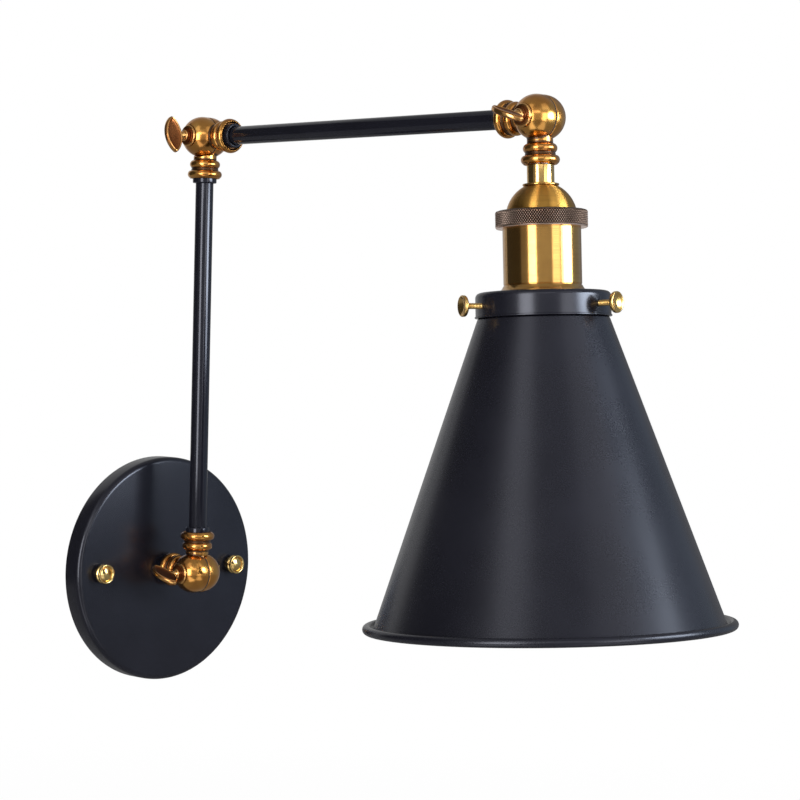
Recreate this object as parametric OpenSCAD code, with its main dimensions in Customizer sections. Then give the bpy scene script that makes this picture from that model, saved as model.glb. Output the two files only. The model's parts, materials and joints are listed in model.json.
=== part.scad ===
// Swing arm wall lamp: a round canopy, two tube arms joined by three thumb-screw knuckles, and a
// socket that carries a cone shade. The wall is the plane y = 0, -Y points into the room and +Z is up.
// The origin is the middle of the canopy's back, where the crossbar is screwed to the wall.

/* [Arms] */
// From the wall knuckle's centre to the elbow's centre
lower_arm_len = 246; // [200:1:300]
// From the elbow's centre to the head knuckle's centre
upper_arm_len = 249; // [235:1:300]
// Outside diameter of the arm tubes and of the threaded nipples
tube_d = 10; // [9:0.5:11]
// Wall of the arm tubes and of the threaded nipples
tube_wall = 1; // [0.8:0.1:1.5]
// How far a tube is screwed into a knuckle
tube_engage = 7; // [5:0.5:9]
// Diameter of the black lock collar at each tube end
collar_d = 13.4; // [12:0.1:15]
// Length of the black lock collar
collar_len = 2.5; // [1.5:0.1:4]
// Lean of the lamp head away from the wall
head_tilt = 3.4; // [0:0.2:8]

/* [Canopy] */
// Diameter of the canopy
canopy_d = 128; // [120:1:150]
// Depth of the canopy
canopy_depth = 12; // [12:0.5:18]
// Thickness of the canopy's steel
canopy_wall = 1.2; // [0.8:0.1:1.6]
// Radius of the canopy's front edge
canopy_edge_r = 3; // [2:0.25:4]
// Distance between the two cap nuts
nut_spacing = 97; // [94:1:104]
// Diameter of a cap nut
nut_d = 10.8; // [9:0.1:12]
// Height of a cap nut above its foot
nut_h = 4; // [3:0.1:5]
// Height of the cap nut's narrower foot
nut_foot_h = 1.9; // [1:0.1:3]

/* [Crossbar] */
// Length of the steel bar behind the canopy
bar_len = 108; // [106:1:114]
// Width of the bar
bar_w = 18; // [16:0.5:22]
// Thickness of the bar
bar_t = 2; // [1.5:0.1:2.3]
// Distance between the middles of the two wall-screw slots
slot_spacing = 70; // [68:1:72]
// End-to-end length of a slot
slot_len = 18; // [12:0.5:18]
// Width of a slot
slot_w = 4.6; // [4:0.1:5.5]
// Diameter of the wire hole in the middle of the bar
bar_hole_d = 11; // [8:0.5:14]
// Diameter of the studs that carry the canopy
stud_d = 4; // [3.5:0.1:4.5]
// Height of the locknut on each stud
stud_nut_h = 3; // [2:0.1:4]
// Distance of the earth screw from the bar's middle
earth_x = 16; // [14:0.5:18]
// Diameter of the earth screw's shank
earth_d = 3.6; // [3:0.1:4]
// Diameter of the earth screw's head
earth_head_d = 7; // [6:0.1:8]

/* [Knuckles] */
// Radius of a knuckle's ball
ball_r = 11.3; // [11:0.1:12]
// Straight part of the ball on each side of the seam
ball_mid = 2.4; // [2:0.1:3.5]
// Wall of the hollow ball
ball_wall = 2.2; // [1.6:0.1:2.4]
// Thickness of the friction washer in the seam
seam_t = 0.6; // [0.4:0.1:1]
// Diameter of the pivot pin
pin_d = 9; // [8:0.1:9.4]
// How far the pivot pin reaches past the seam
pin_len = 6.5; // [5:0.1:7]
// Diameter of the hub round the pivot
hub_d = 12.6; // [12.4:0.1:13.4]
// Diameter of the dish round the thumb screw
dish_d = 12; // [11:0.1:12.6]
// Diameter of the stem's neck
neck_d = 12.9; // [12.8:0.1:15]
// Length of the stem from the ball's centre to its end
stem_len = 23.3; // [22.6:0.1:26]
// Diameter of the stem's inner ring
ring_a_d = 17; // [16.4:0.1:18.5]
// Middle of the inner ring, from the ball's centre
ring_a_at = 15.3; // [15.2:0.1:15.6]
// Diameter of the stem's end ring
ring_b_d = 19.2; // [18:0.1:21]
// Radius of the rings' round edges
ring_edge_r = 2.4; // [2:0.1:2.4]
// Diameter of the groove between the two rings
groove_d = 15.2; // [14.6:0.1:16]

/* [Thumb screws] */
// Diameter of a thumb screw's thread
screw_d = 5; // [4:0.1:5.5]
// Diameter of the shoulder that presses on the ball
shoulder_d = 8; // [7.4:0.1:8.4]
// Thickness of the shoulder
shoulder_h = 1.6; // [1:0.1:2.2]
// Diameter of the neck between shoulder and blade
grip_neck_d = 4.8; // [4:0.1:5.6]
// Distance from the ball's centre to the middle of the blade
blade_at = 23.6; // [21:0.1:25]
// Length of the blade
blade_len = 20.6; // [16:0.2:24]
// Width of the blade
blade_w = 11.4; // [8:0.2:12]
// Thickness of the blade
blade_t = 3; // [2:0.1:3.6]
// Turn of the wall knuckle's blade
wall_blade_turn = 112; // [0:1:180]
// Turn of the elbow's blade
elbow_blade_turn = 166; // [0:1:180]
// Turn of the head knuckle's blade
head_blade_turn = 109; // [0:1:180]

/* [Socket] */
// Outside diameter of the brass sleeve under the head knuckle
sleeve_d = 13.4; // [12.5:0.1:15]
// Length of the brass sleeve
sleeve_len = 9.3; // [6:0.1:12]
// Diameter of the washer under the sleeve
washer_d = 18; // [16:0.1:20]
// Thickness of the washer
washer_t = 1; // [0.8:0.1:2]
// Radius of the socket's domed cap
dome_r = 17.55; // [17.4:0.05:18]
// Height of the dome above the knurled ring
dome_h = 12.2; // [11:0.1:13]
// Thickness of the socket's cap
cap_wall = 1; // [0.7:0.1:1.2]
// Diameter of the knurled ring
knurl_d = 45.5; // [43:0.5:48]
// Height of the knurled ring
knurl_h = 8.5; // [7:0.1:11]
// Outside diameter of the socket's shell
shell_d = 38.5; // [37.8:0.1:39]
// Visible length of the shell below the knurled ring
shell_len = 26; // [22:0.1:30]
// Outside diameter of the flared lip at the shell's end
lip_d = 42.4; // [40:0.1:44]
// Height of the flared lip
lip_h = 5.3; // [4:0.1:6]
// Diameter of the shell's threaded end
collar_thread_d = 36.4; // [35.8:0.1:36.8]
// Bore of the socket's shell
shell_bore_d = 34.8; // [34.6:0.1:35]
// Inside diameter of the lamp holder's screw shell
lamp_thread_d = 26.5; // [26.3:0.1:27.5]
// Thickness of the screw shell's brass
lamp_shell_wall = 0.4; // [0.3:0.05:0.6]
// Length of the screw shell
lamp_shell_len = 26; // [24:0.5:27]

/* [Shade] */
// Outside diameter of the shade's carrier
gallery_d = 66.4; // [64:0.2:72]
// Height of the carrier
gallery_h = 12.4; // [12:0.1:16]
// Thickness of the carrier's steel
gallery_wall = 1.2; // [1:0.1:1.4]
// Radius of the carrier's top edge
gallery_edge_r = 2.5; // [2:0.1:3]
// Thickness of the ring nut that clamps the carrier to the socket
retaining_t = 5; // [4:0.5:6]
// Width of the ring nut, from its thread to its edge
retaining_w = 5; // [4:0.5:6]
// Thickness of the shade's metal
shade_wall = 0.8; // [0.6:0.1:1.2]
// Height of the shade's cone
cone_h = 150.2; // [100:0.2:160]
// Width of the ledge from the cone to the middle of the rim's bead
rim_ledge = 3.4; // [2.6:0.1:5]
// Diameter of the rolled rim's bead
bead_d = 4.4; // [3.6:0.1:5]
// Outside diameter over the rolled rim
rim_d = 183.2; // [150:0.2:220]
// Diameter of a shade screw's shaft
shade_screw_d = 3; // [2.6:0.1:4]
// Length of the shaft outside the carrier
shade_screw_out = 8.1; // [6:0.1:12]
// Diameter of a shade screw's dished head
shade_head_d = 10.5; // [8:0.1:12]
// Thickness of a shade screw's head
shade_head_t = 2.2; // [1.8:0.1:3]
// Direction of the first shade screw round the head
shade_screw_turn = 84; // [0:1:119]

/* [Bulb] */
// Radius of the bulb's glass
bulb_r = 29.5; // [27:0.5:31]
// From the bulb's foot to the middle of its round part
bulb_reach = 76; // [70:0.5:80]
// Thickness of the bulb's glass
glass_wall = 0.8; // [0.6:0.1:1]
// Diameter of the bulb's screw base
bulb_base_d = 26; // [25.6:0.1:26.2]
// Length of the bulb's screw base
bulb_base_len = 24; // [20:0.5:24.5]

/* [Wiring] */
// Diameter of one insulated lead
lead_d = 1.9; // [1.4:0.1:2]
// Space between the two leads' middles
lead_pitch = 2.2; // [2.05:0.05:2.5]

/* [Hidden] */
$fn = 64;
fn_large = 128;         // facets of the canopy, the shade, the blades and the bulb
fn_medium = 96;         // facets of the carrier, the domes and the glass
fn_bead = 48;           // facets of the rolled rim
fn_lead = 32;           // facets of a bent lead

// Clearances
thread_gap = 0.05;      // radial, round a thread or a fixed fit
pivot_gap = 0.05;       // radial, round the pivot pin and the thumb screw's thread
pass_gap = 0.15;        // radial, round the thumb screw where it has no thread
face_gap = 0.05;        // between flat faces that slide on each other
knuckle_gap = 0.35;     // between a stem and the other half's ball
hole_gap = 0.3;         // radial, round a stud in its hole
end_gap = 0.3;          // past the end of a pin, a stud or a shoulder
lip_gap = 0.35;         // between the shade's cone and its carrier
tiny = 0.01;            // overlap that makes a cut run clean through a face
over = 1;               // how far a cut runs out of a solid, or one solid into another

black = [0.13, 0.13, 0.16];
brass = [0.72, 0.52, 0.24];
dark_brass = [0.36, 0.27, 0.18];
bright_brass = [0.86, 0.66, 0.30];
steel = [0.72, 0.72, 0.70];
lead_black = [0.2, 0.2, 0.2];

// Canopy and crossbar
nut_foot_in = 1.6;      // how much smaller the radius of a cap nut's foot is
nut_groove = 0.8;       // depth of the groove round a cap nut
nut_groove_share = 0.3; // where the groove starts, as a share of the nut's height
nut_rim = 0.7;          // width of the raised rim on a cap nut
nut_dome_in = 0.3;      // ledge between that rim and the nut's dome
nut_dome_h = 1;         // height of the nut's dome
stud_nut_extra = 3;     // width across a locknut's flats beyond its stud
lug_t = 0.6;            // thickness of the earth lead's lug
lug_w = 3;              // width of the lug's tongue
lug_tongue_at = 0.4;    // start of the tongue past the earth screw's shank
lug_inset = 0.2;        // how much smaller the lug is than the earth screw's head
earth_short = 0.2;      // how far the earth screw ends from the wall
earth_head_h = 2;       // height of the earth screw's head
earth_slot_w = 0.9;     // width of the slot in that head
earth_slot_depth = 1.5; // depth of the slot
earth_run = 32;         // length of the earth lead
wire_r = 0.7;           // radius of the earth wire

// Nipples, bushings and leads
nipple_tail = 4.4;      // length of the nipple behind the canopy's face
nipple_flat_w = 4;      // width of the washer and of the locknut's flats beyond the nipple
nipple_washer_t = 1;    // thickness of the nipple's washer
nipple_nut_h = 3;       // height of the nipple's locknut
bushing_len = 4;        // length of a bushing inside its tube
bushing_lip = 0.8;      // thickness of a bushing's lip
bushing_lip_share = 0.7; // share of the tube's wall that the lip covers
lead_clear = 1.3;       // distance of a lead's end from the ball
lead_tail = 1.2;        // straight part of a supply lead behind the nipple
lead_bend = 2;          // radius of a supply lead's bend
lead_run = 34;          // length of a supply lead behind the canopy
bare_len = 9;           // stripped end of a supply lead

// Knuckles and thumb screws
screw_bite = 6;         // threaded depth past the straight part of the ball
thread_relief = 1;      // bore past the end of a screwed-in tube
dish_depth = 3;         // depth of the dish round the thumb screw
dish_slope_h = 1.9;     // height of the dish's sloping side
dish_flare = 0.5;       // radial growth of the dish at its mouth
washer_in = 0.1;        // room between the friction washer and the ball's inside
washer_out = 0.2;       // how far the washer stays inside the ball's outline
blade_tip_share = 0.94; // where the blade's points are rounded off, as a share of its length
web_in = 1.5;           // start of the flare between neck and blade, before the blade's edge
web_h = 3.5;            // height of that flare
web_extra = 1.4;        // growth of the neck's diameter over the flare

// Lamp head
washer_lap = 1;         // how far the washer covers the dome's flat top
nipple_in = 5;          // reach of the socket's nipple under the cap's top
skirt_lap = 3.5;        // distance from the cap's skirt end to the knurled ring's end
shell_tuck = 0.5;       // distance from the dome's middle to the shell's top
lip_edge_h = 1.2;       // straight edge of the shell's lip
thread_short = 2;       // distance from the thread's end to the carrier's bottom
insulator_t = 10;       // solid porcelain above the screw shell
terminal_x = 9;         // distance of a terminal screw from the axis
terminal_r = 1.5;       // radius of a terminal screw
terminal_len = 5;       // length of a terminal screw
terminal_depth = 6;     // hole for a terminal screw
terminal_head_w = 1.2;  // radial width of a terminal screw's head
terminal_head_h = 1.6;  // height of a terminal screw's head
contact_r = 2.5;        // radius of the centre contact
contact_sunk = 2;       // porcelain above the centre contact
contact_pad_w = 1;      // radial width of the contact's pad
contact_pad_lap = 0.5;  // how far the contact's stem runs into its pad
contact_room = 2;       // radial room round the contact in the screw shell's end
foot_drop = 3;          // from the screw shell's top to the bulb's foot
fan_drop = 6;           // where the leads start to spread, under the cap's top

// Shade
screw_share = 0.55;     // height of the shade screws, as a share of the carrier's height
gallery_bead = 0.4;     // radial width of the bead at the carrier's edge
gallery_bead_h = 0.9;   // height of that bead
key_w = 3;              // width of the notches in the ring nut
neck_room = 1.2;        // radial room between the shade's collar and its carrier
neck_lip = 0.7;         // radial width of the lip on the shade's collar
neck_lip_at = 1;        // distance of the lip from the carrier's top
cone_inset = 0.8;       // how much smaller the cone's top radius is than the carrier's
head_edge = 0.9;        // slope behind a shade screw's head, and the rim in front of it

// Bulb
foot_r = 3.2;           // radius of the bulb's foot contact
foot_h = 1;             // height of the foot contact
foot_cone_r = 5;        // radius of the black glass cone at the foot
foot_cone_h = 1.5;      // height of that cone
base_shoulder = 1.5;    // radial step from the cone to the screw base
base_wall = 0.8;        // thickness of the screw base
base_floor = 1.5;       // thickness of the base at the foot
glass_neck_in = 0.9;    // gap and wall between the base's outside and the glass's neck
glass_taper_in = 1;     // allowance in the slope of the glass's neck
glass_neck_out = 3;     // straight neck below the base
glass_neck_up = 4;      // straight neck inside the base

// Places of the knuckles and of their tubes
tube_r = tube_d / 2;
bore_r = tube_r - tube_wall;
wall_reach = canopy_depth + collar_len + stem_len;
ball_end = ball_mid + ball_r;
dish_floor = ball_end - dish_depth;
tube_start = stem_len - tube_engage;
canopy_inside = canopy_depth - canopy_wall;
nipple_back = canopy_inside - nipple_tail;

// Heights down the lamp head, from the head knuckle's centre
sleeve_top = stem_len;
washer_top = sleeve_top + sleeve_len;
cap_top = washer_top + washer_t;
knurl_top = cap_top + dome_h;
knurl_bottom = knurl_top + knurl_h;
lip_top = knurl_bottom + shell_len;
gallery_top = lip_top + lip_h;
gallery_bottom = gallery_top + gallery_h;
cone_top = gallery_bottom + lip_gap;
cone_bottom = cone_top + cone_h;
dome_mid = cap_top + sqrt(pow(dome_r, 2) - pow(washer_d / 2 - washer_lap, 2));
screw_level = gallery_top + gallery_h * screw_share;
shell_top = dome_mid + shell_tuck;
insulator_top = knurl_bottom - skirt_lap;
insulator_floor = insulator_top + insulator_t;
thread_end = gallery_bottom - thread_short;
lamp_shell_top = insulator_floor;
foot_at = lamp_shell_top + foot_drop;
bulb_mid_at = foot_at + bulb_reach;
base_top = foot_at + foot_h + foot_cone_h;
base_bottom = base_top + bulb_base_len;

// Radii of the shade and of the lamp holder
neck_out_r = gallery_d / 2 - gallery_wall - neck_room;
cone_top_r = gallery_d / 2 - cone_inset;
bead_x = rim_d / 2 - bead_d / 2;
cone_r = bead_x - rim_ledge;
collar_thread_r = collar_thread_d / 2;
insulator_r = shell_bore_d / 2 - thread_gap;
lamp_shell_r = lamp_thread_d / 2 + lamp_shell_wall;

// Dished face of a shade screw's head, and the three screws' directions
shade_dish_r = shade_head_d / 2 - head_edge;
shade_dish_depth = shade_head_t - head_edge;
dish_sphere_r = (pow(shade_dish_r, 2) + pow(shade_dish_depth, 2)) / (2 * shade_dish_depth);
shade_screw_turns = [for (k = [0:2]) shade_screw_turn + 120 * k];

// Moves from a drawing round the origin to its place on the lamp
module at_wall() translate([0, -wall_reach, 0]) children();
module at_elbow() translate([0, -wall_reach, lower_arm_len]) children();
module at_head() translate([0, -wall_reach - upper_arm_len, lower_arm_len]) children();
module out_from_wall() rotate([90, 0, 0]) children();
module to_wall() rotate([-90, 0, 0]) children();
module to_room() rotate([90, 0, 0]) children();
module down() rotate([180, 0, 0]) children();
module down_head() at_head() rotate([180 - head_tilt, 0, 0]) children();
// Revolves a drawing about the hinge axis, towards side 1 or -1 along X
module round_x(side) rotate([0, side * 90, 0]) rotate_extrude() children();

// A rod of radius r from height a to height b
module rod(r, a, b) translate([0, 0, a]) cylinder(r = r, h = b - a);
// A ring between two radii, from height a to height b
module ring(r_in, r_out, a, b) difference() {
    rod(r_out, a, b);
    rod(r_in, a - tiny, b + tiny);
}
// A hexagon nut with its flats across width w
module hex_nut(w, r_in, a, b) difference() {
    translate([0, 0, a]) cylinder(d = w / cos(30), h = b - a, $fn = 6);
    rod(r_in, a - tiny, b + tiny);
}

// Outline of half a ball: radius across, distance from the seam upwards
module ball_outline(r, mid) {
    square([r, mid]);
    translate([0, mid]) intersection() {
        circle(r);
        square(r);
    }
}
// Outline of a stem with its neck and two turned rings
module stem_outline() {
    ring_b_at = stem_len - ring_edge_r;
    square([neck_d / 2, stem_len]);
    translate([0, ring_a_at]) square([groove_d / 2, ring_b_at - ring_a_at]);
    for (r = [[ring_a_d, ring_a_at], [ring_b_d, ring_b_at]])
        intersection() {
            union() {
                translate([r[0] / 2 - ring_edge_r, r[1]]) circle(ring_edge_r);
                translate([0, r[1] - ring_edge_r])
                    square([r[0] / 2 - ring_edge_r, 2 * ring_edge_r]);
            }
            square([r[0], stem_len]);
        }
}
// Half a knuckle: a hollow half ball on one side of the seam, and a stem in the middle
module knuckle_body(side, gap) difference() {
    union() {
        round_x(side) difference() {
            ball_outline(ball_r, ball_mid);
            square([ball_r + over, gap]);
        }
        difference() {
            rotate_extrude() stem_outline();
            round_x(-side) ball_outline(ball_r + knuckle_gap, ball_mid + knuckle_gap);
            round_x(side) square([ball_r + knuckle_gap, gap]);
        }
    }
    round_x(side) difference() {
        ball_outline(ball_r - ball_wall, ball_mid);
        square([hub_d / 2, ball_end]);
    }
    rod(bore_r, hub_d / 2 + end_gap, stem_len);
    rod(tube_r + thread_gap, tube_start - thread_relief, stem_len + tiny);
}
// The half on the +X side, with the pivot pin and the thumb screw's thread
module knuckle_pin_half() difference() {
    union() {
        knuckle_body(1, seam_t / 2);
        rotate([0, 90, 0]) rod(pin_d / 2, -pin_len, seam_t);
    }
    rotate([0, 90, 0]) rod(screw_d / 2, -pin_len - tiny, ball_mid + screw_bite);
}
// The half on the -X side, with the hub that turns on the pin and the dish for the screw
module knuckle_hub_half() difference() {
    knuckle_body(-1, seam_t / 2 + face_gap);
    rotate([0, -90, 0]) {
        rod(pin_d / 2 + pivot_gap, 0, pin_len + end_gap);
        rod(screw_d / 2 + pass_gap, 0, ball_end + over);
        translate([0, 0, dish_floor])
            cylinder(r1 = shoulder_d / 2 + end_gap, r2 = dish_d / 2 + dish_flare, h = dish_slope_h);
        rod(dish_d / 2 + dish_flare, dish_floor + dish_slope_h - tiny, ball_end + over);
    }
}
// Fibre washer between the two rims
module friction_washer() rotate([0, 90, 0])
    ring(ball_r - ball_wall + washer_in, ball_r - washer_out, -seam_t / 2, seam_t / 2);

// Oval outline of a thumb screw's blade
module blade_outline() {
    arc_r = (pow(blade_len / 2, 2) + pow(blade_w / 2, 2)) / blade_w;
    intersection() {
        translate([arc_r - blade_w / 2, 0]) circle(arc_r, $fn = fn_large);
        translate([blade_w / 2 - arc_r, 0]) circle(arc_r, $fn = fn_large);
        circle(blade_len / 2 * blade_tip_share);
    }
}
module thumb_screw(turn) rotate([turn, 0, 0]) {
    rotate([0, -90, 0]) {
        rod(screw_d / 2 - pivot_gap, over - ball_mid - screw_bite, dish_floor + over);
        rod(shoulder_d / 2, dish_floor + face_gap, dish_floor + face_gap + shoulder_h);
        rod(grip_neck_d / 2, dish_floor + over, blade_at);
        translate([0, 0, blade_at - blade_w / 2 - web_in])
            cylinder(d1 = grip_neck_d, d2 = grip_neck_d + web_extra, h = web_h);
    }
    translate([-blade_at, blade_t / 2, 0]) rotate([90, 0, 0])
        linear_extrude(blade_t) blade_outline();
}

// Tube between two knuckles, drawn along +Z from the first one's centre
module arm_tube(len) ring(bore_r, tube_r, tube_start, len - tube_start);
module arm_collars(len) for (a = [stem_len, len - stem_len - collar_len])
    ring(tube_r + thread_gap, collar_d / 2, a, a + collar_len);
// Insulating bushing that keeps the leads off a tube's edge
module bushing(a, b, lip) difference() {
    union() {
        rod(bore_r - thread_gap, a, b);
        rod(bore_r + tube_wall * bushing_lip_share, lip, lip + bushing_lip);
    }
    lead_pair(a - over, b + over);
}
module arm_bushings(len) {
    bushing(tube_start - bushing_lip, tube_start + bushing_len, tube_start - bushing_lip);
    far_end = len - tube_start;
    bushing(far_end - bushing_len, far_end + bushing_lip, far_end);
}
module lead_pair(a, b) for (side = [-1, 1])
    translate([side * lead_pitch / 2, 0, 0]) rod(lead_d / 2, a, b);
module arm_leads(len) lead_pair(ball_r + lead_clear, len - ball_r - lead_clear);

// Wall parts, drawn outwards from the wall

module cup_outline(r, depth, edge) {
    square([r - edge, depth]);
    square([r, depth - edge]);
    translate([r - edge, depth - edge]) circle(edge);
}
module canopy() color(black) out_from_wall() difference() {
    rotate_extrude($fn = fn_large) difference() {
        cup_outline(canopy_d / 2, canopy_depth, canopy_edge_r);
        translate([0, -tiny])
            cup_outline(canopy_d / 2 - canopy_wall, canopy_inside + tiny,
                canopy_edge_r - canopy_wall);
    }
    rod(tube_r + thread_gap, 0, canopy_depth + over);
    for (side = [-1, 1]) translate([side * nut_spacing / 2, 0, 0])
        rod(stud_d / 2 + hole_gap, 0, canopy_depth + over);
}
module slot(len, w) {
    square([len - w, w], center = true);
    for (side = [-1, 1]) translate([side * (len - w) / 2, 0]) circle(d = w);
}
module mounting_crossbar() color(steel) out_from_wall() linear_extrude(bar_t) difference() {
    intersection() {
        square([bar_len, bar_w], center = true);
        circle(d = bar_len);
    }
    circle(d = bar_hole_d);
    for (side = [-1, 1]) {
        translate([side * slot_spacing / 2, 0]) slot(slot_len, slot_w);
        translate([side * nut_spacing / 2, 0]) circle(r = stud_d / 2 + thread_gap);
    }
    translate([earth_x, 0]) circle(r = earth_d / 2 + thread_gap);
}
module crossbar_studs() color(steel) out_from_wall() for (side = [-1, 1])
    translate([side * nut_spacing / 2, 0, 0])
        rod(stud_d / 2, 0, canopy_depth + nut_foot_h + nut_h / 2);
module stud_locknuts() color(steel) out_from_wall() for (side = [-1, 1])
    translate([side * nut_spacing / 2, 0, 0])
        hex_nut(stud_d + stud_nut_extra, stud_d / 2 + thread_gap, bar_t, bar_t + stud_nut_h);
// A cap nut: a narrower foot, a body with a groove round it, and a raised rim round a low dome
module cap_nut_outline() {
    r = nut_d / 2;
    foot = r - nut_foot_in;
    low = nut_foot_h + nut_h * nut_groove_share;
    high = low + 2 * nut_groove;
    top = nut_foot_h + nut_h;
    face = top - nut_rim;
    polygon([[0, 0], [foot, 0], [foot, nut_foot_h], [r, nut_foot_h], [r, low],
        [r - nut_groove, low + nut_groove], [r, high], [r, top], [r - nut_rim, top],
        [r - nut_rim, face], [0, face]]);
    dome_in = r - nut_rim - nut_dome_in;
    dome_ball = (pow(dome_in, 2) + pow(nut_dome_h, 2)) / (2 * nut_dome_h);
    translate([0, face]) intersection() {
        translate([0, nut_dome_h - dome_ball]) circle(dome_ball, $fn = fn_medium);
        square(dome_in);
    }
}
module cap_nuts() color(bright_brass) out_from_wall() for (side = [-1, 1])
    translate([side * nut_spacing / 2, 0, canopy_depth]) difference() {
        rotate_extrude() cap_nut_outline();
        rod(stud_d / 2 + thread_gap, -tiny, nut_foot_h + nut_h / 2 + end_gap);
    }
module earth_screw() color([0.25, 0.50, 0.28]) out_from_wall() translate([earth_x, 0, 0]) {
    head_low = bar_t + lug_t;
    rod(earth_d / 2, earth_short, head_low);
    difference() {
        rod(earth_head_d / 2, head_low, head_low + earth_head_h);
        translate([0, 0, head_low + earth_head_h])
            cube([earth_head_d + over, earth_slot_w, 2 * earth_slot_depth], center = true);
    }
}
module earth_lead() color([0.75, 0.45, 0.25]) out_from_wall() translate([earth_x, 0, 0]) {
    crimp_at = earth_head_d / 2 + hole_gap;
    ring(earth_d / 2 + thread_gap, earth_head_d / 2 - lug_inset, bar_t, bar_t + lug_t);
    translate([-lug_w / 2, earth_d / 2 + lug_tongue_at, bar_t]) cube([lug_w, crimp_at, lug_t]);
    translate([0, crimp_at, bar_t + wire_r + thread_gap]) rotate([-90, 0, 0])
        rod(wire_r, 0, earth_run);
}
module wall_seat_ring() color(black) out_from_wall()
    ring(tube_r + thread_gap, collar_d / 2, canopy_depth, canopy_depth + collar_len);
module wall_nipple() color(steel) out_from_wall()
    ring(bore_r, tube_r, nipple_back, canopy_depth + collar_len + tube_engage);
module nipple_washer() color(steel) out_from_wall()
    ring(tube_r + thread_gap, tube_r + nipple_flat_w, canopy_inside - nipple_washer_t,
        canopy_inside);
module nipple_locknut() color(steel) out_from_wall()
    hex_nut(tube_d + nipple_flat_w, tube_r + thread_gap,
        canopy_inside - nipple_washer_t - nipple_nut_h, canopy_inside - nipple_washer_t);
module nipple_bushing() color("ivory") out_from_wall()
    bushing(nipple_back - bushing_lip, nipple_back + bushing_len, nipple_back - bushing_lip);
// Two leads that come out of the nipple, bend up behind the canopy and end bare
module supply_leads() color([0.15, 0.15, 0.15]) out_from_wall() {
    turn_at = nipple_back - lead_tail;
    lead_pair(turn_at, wall_reach - ball_r - lead_clear);
    for (side = [-1, 1]) translate([side * lead_pitch / 2, 0, turn_at]) {
        translate([0, lead_bend, 0]) rotate([0, 90, 0]) rotate([0, 0, -90])
            rotate_extrude(angle = 90) translate([lead_bend, 0]) circle(d = lead_d, $fn = fn_lead);
        translate([0, lead_bend, -lead_bend]) rotate([-90, 0, 0]) {
            rod(lead_d / 2, 0, lead_run);
            rod(lead_d / 4, lead_run, lead_run + bare_len);
        }
    }
}
module wall_knuckle_base() color(brass) at_wall() to_wall() knuckle_pin_half();
module wall_friction_washer() color("dimgray") at_wall() friction_washer();
module wall_thumb_screw() color(dark_brass) at_wall() thumb_screw(wall_blade_turn);

// Lower arm

module wall_knuckle_arm() color(brass) at_wall() knuckle_hub_half();
module lower_tube() color(black) at_wall() arm_tube(lower_arm_len);
module lower_tube_collars() color(black) at_wall() arm_collars(lower_arm_len);
module lower_bushings() color("ivory") at_wall() arm_bushings(lower_arm_len);
module lower_leads() color(lead_black) at_wall() arm_leads(lower_arm_len);
module elbow_knuckle_lower() color(brass) at_elbow() down() knuckle_pin_half();
module elbow_friction_washer() color("dimgray") at_elbow() friction_washer();
module elbow_thumb_screw() color(dark_brass) at_elbow() thumb_screw(elbow_blade_turn);

// Upper arm

module elbow_knuckle_upper() color(brass) at_elbow() to_room() knuckle_hub_half();
module upper_tube() color(black) at_elbow() to_room() arm_tube(upper_arm_len);
module upper_tube_collars() color(black) at_elbow() to_room() arm_collars(upper_arm_len);
module upper_bushings() color("ivory") at_elbow() to_room() arm_bushings(upper_arm_len);
module upper_leads() color(lead_black) at_elbow() to_room() arm_leads(upper_arm_len);
module head_knuckle_arm() color(brass) at_head() to_wall() knuckle_pin_half();
module head_friction_washer() color("dimgray") at_head() friction_washer();
module head_thumb_screw() color(dark_brass) at_head() thumb_screw(head_blade_turn);

// Lamp head, drawn down the head's own axis

module head_knuckle_socket() color(brass) down_head() knuckle_hub_half();
module socket_nipple() color(steel) down_head() ring(bore_r, tube_r, tube_start, cap_top + nipple_in);
module socket_sleeve() color(bright_brass) down_head() difference() {
    rod(sleeve_d / 2, sleeve_top, washer_top);
    rod(tube_r + thread_gap, sleeve_top - tiny, washer_top + tiny);
}
module socket_washer() color(brass) down_head()
    ring(tube_r + thread_gap, washer_d / 2, washer_top, cap_top);
// Domed cap with a skirt inside the knurled ring
module dome_outline(r) {
    intersection() {
        translate([0, dome_mid]) circle(r, $fn = fn_medium);
        translate([0, cap_top]) square([r, dome_mid - cap_top]);
    }
    translate([0, dome_mid]) square([r, insulator_top - dome_mid]);
}
module socket_cap() color(brass) down_head() rotate_extrude() difference() {
    dome_outline(dome_r);
    translate([0, cap_top + cap_wall]) intersection() {
        translate([0, -cap_top - cap_wall]) dome_outline(dome_r - cap_wall);
        square([dome_r, insulator_top]);
    }
    translate([0, insulator_top - over]) square([dome_r - cap_wall, 2 * over]);
    square([tube_r + thread_gap, insulator_top]);
}
module knurled_ring() color(dark_brass) down_head() difference() {
    rod(knurl_d / 2, knurl_top, knurl_bottom);
    rod(dome_r + thread_gap, knurl_top - tiny, knurl_bottom + tiny);
    rod(shell_d / 2 + thread_gap, shell_top, knurl_bottom + tiny);
}
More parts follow.
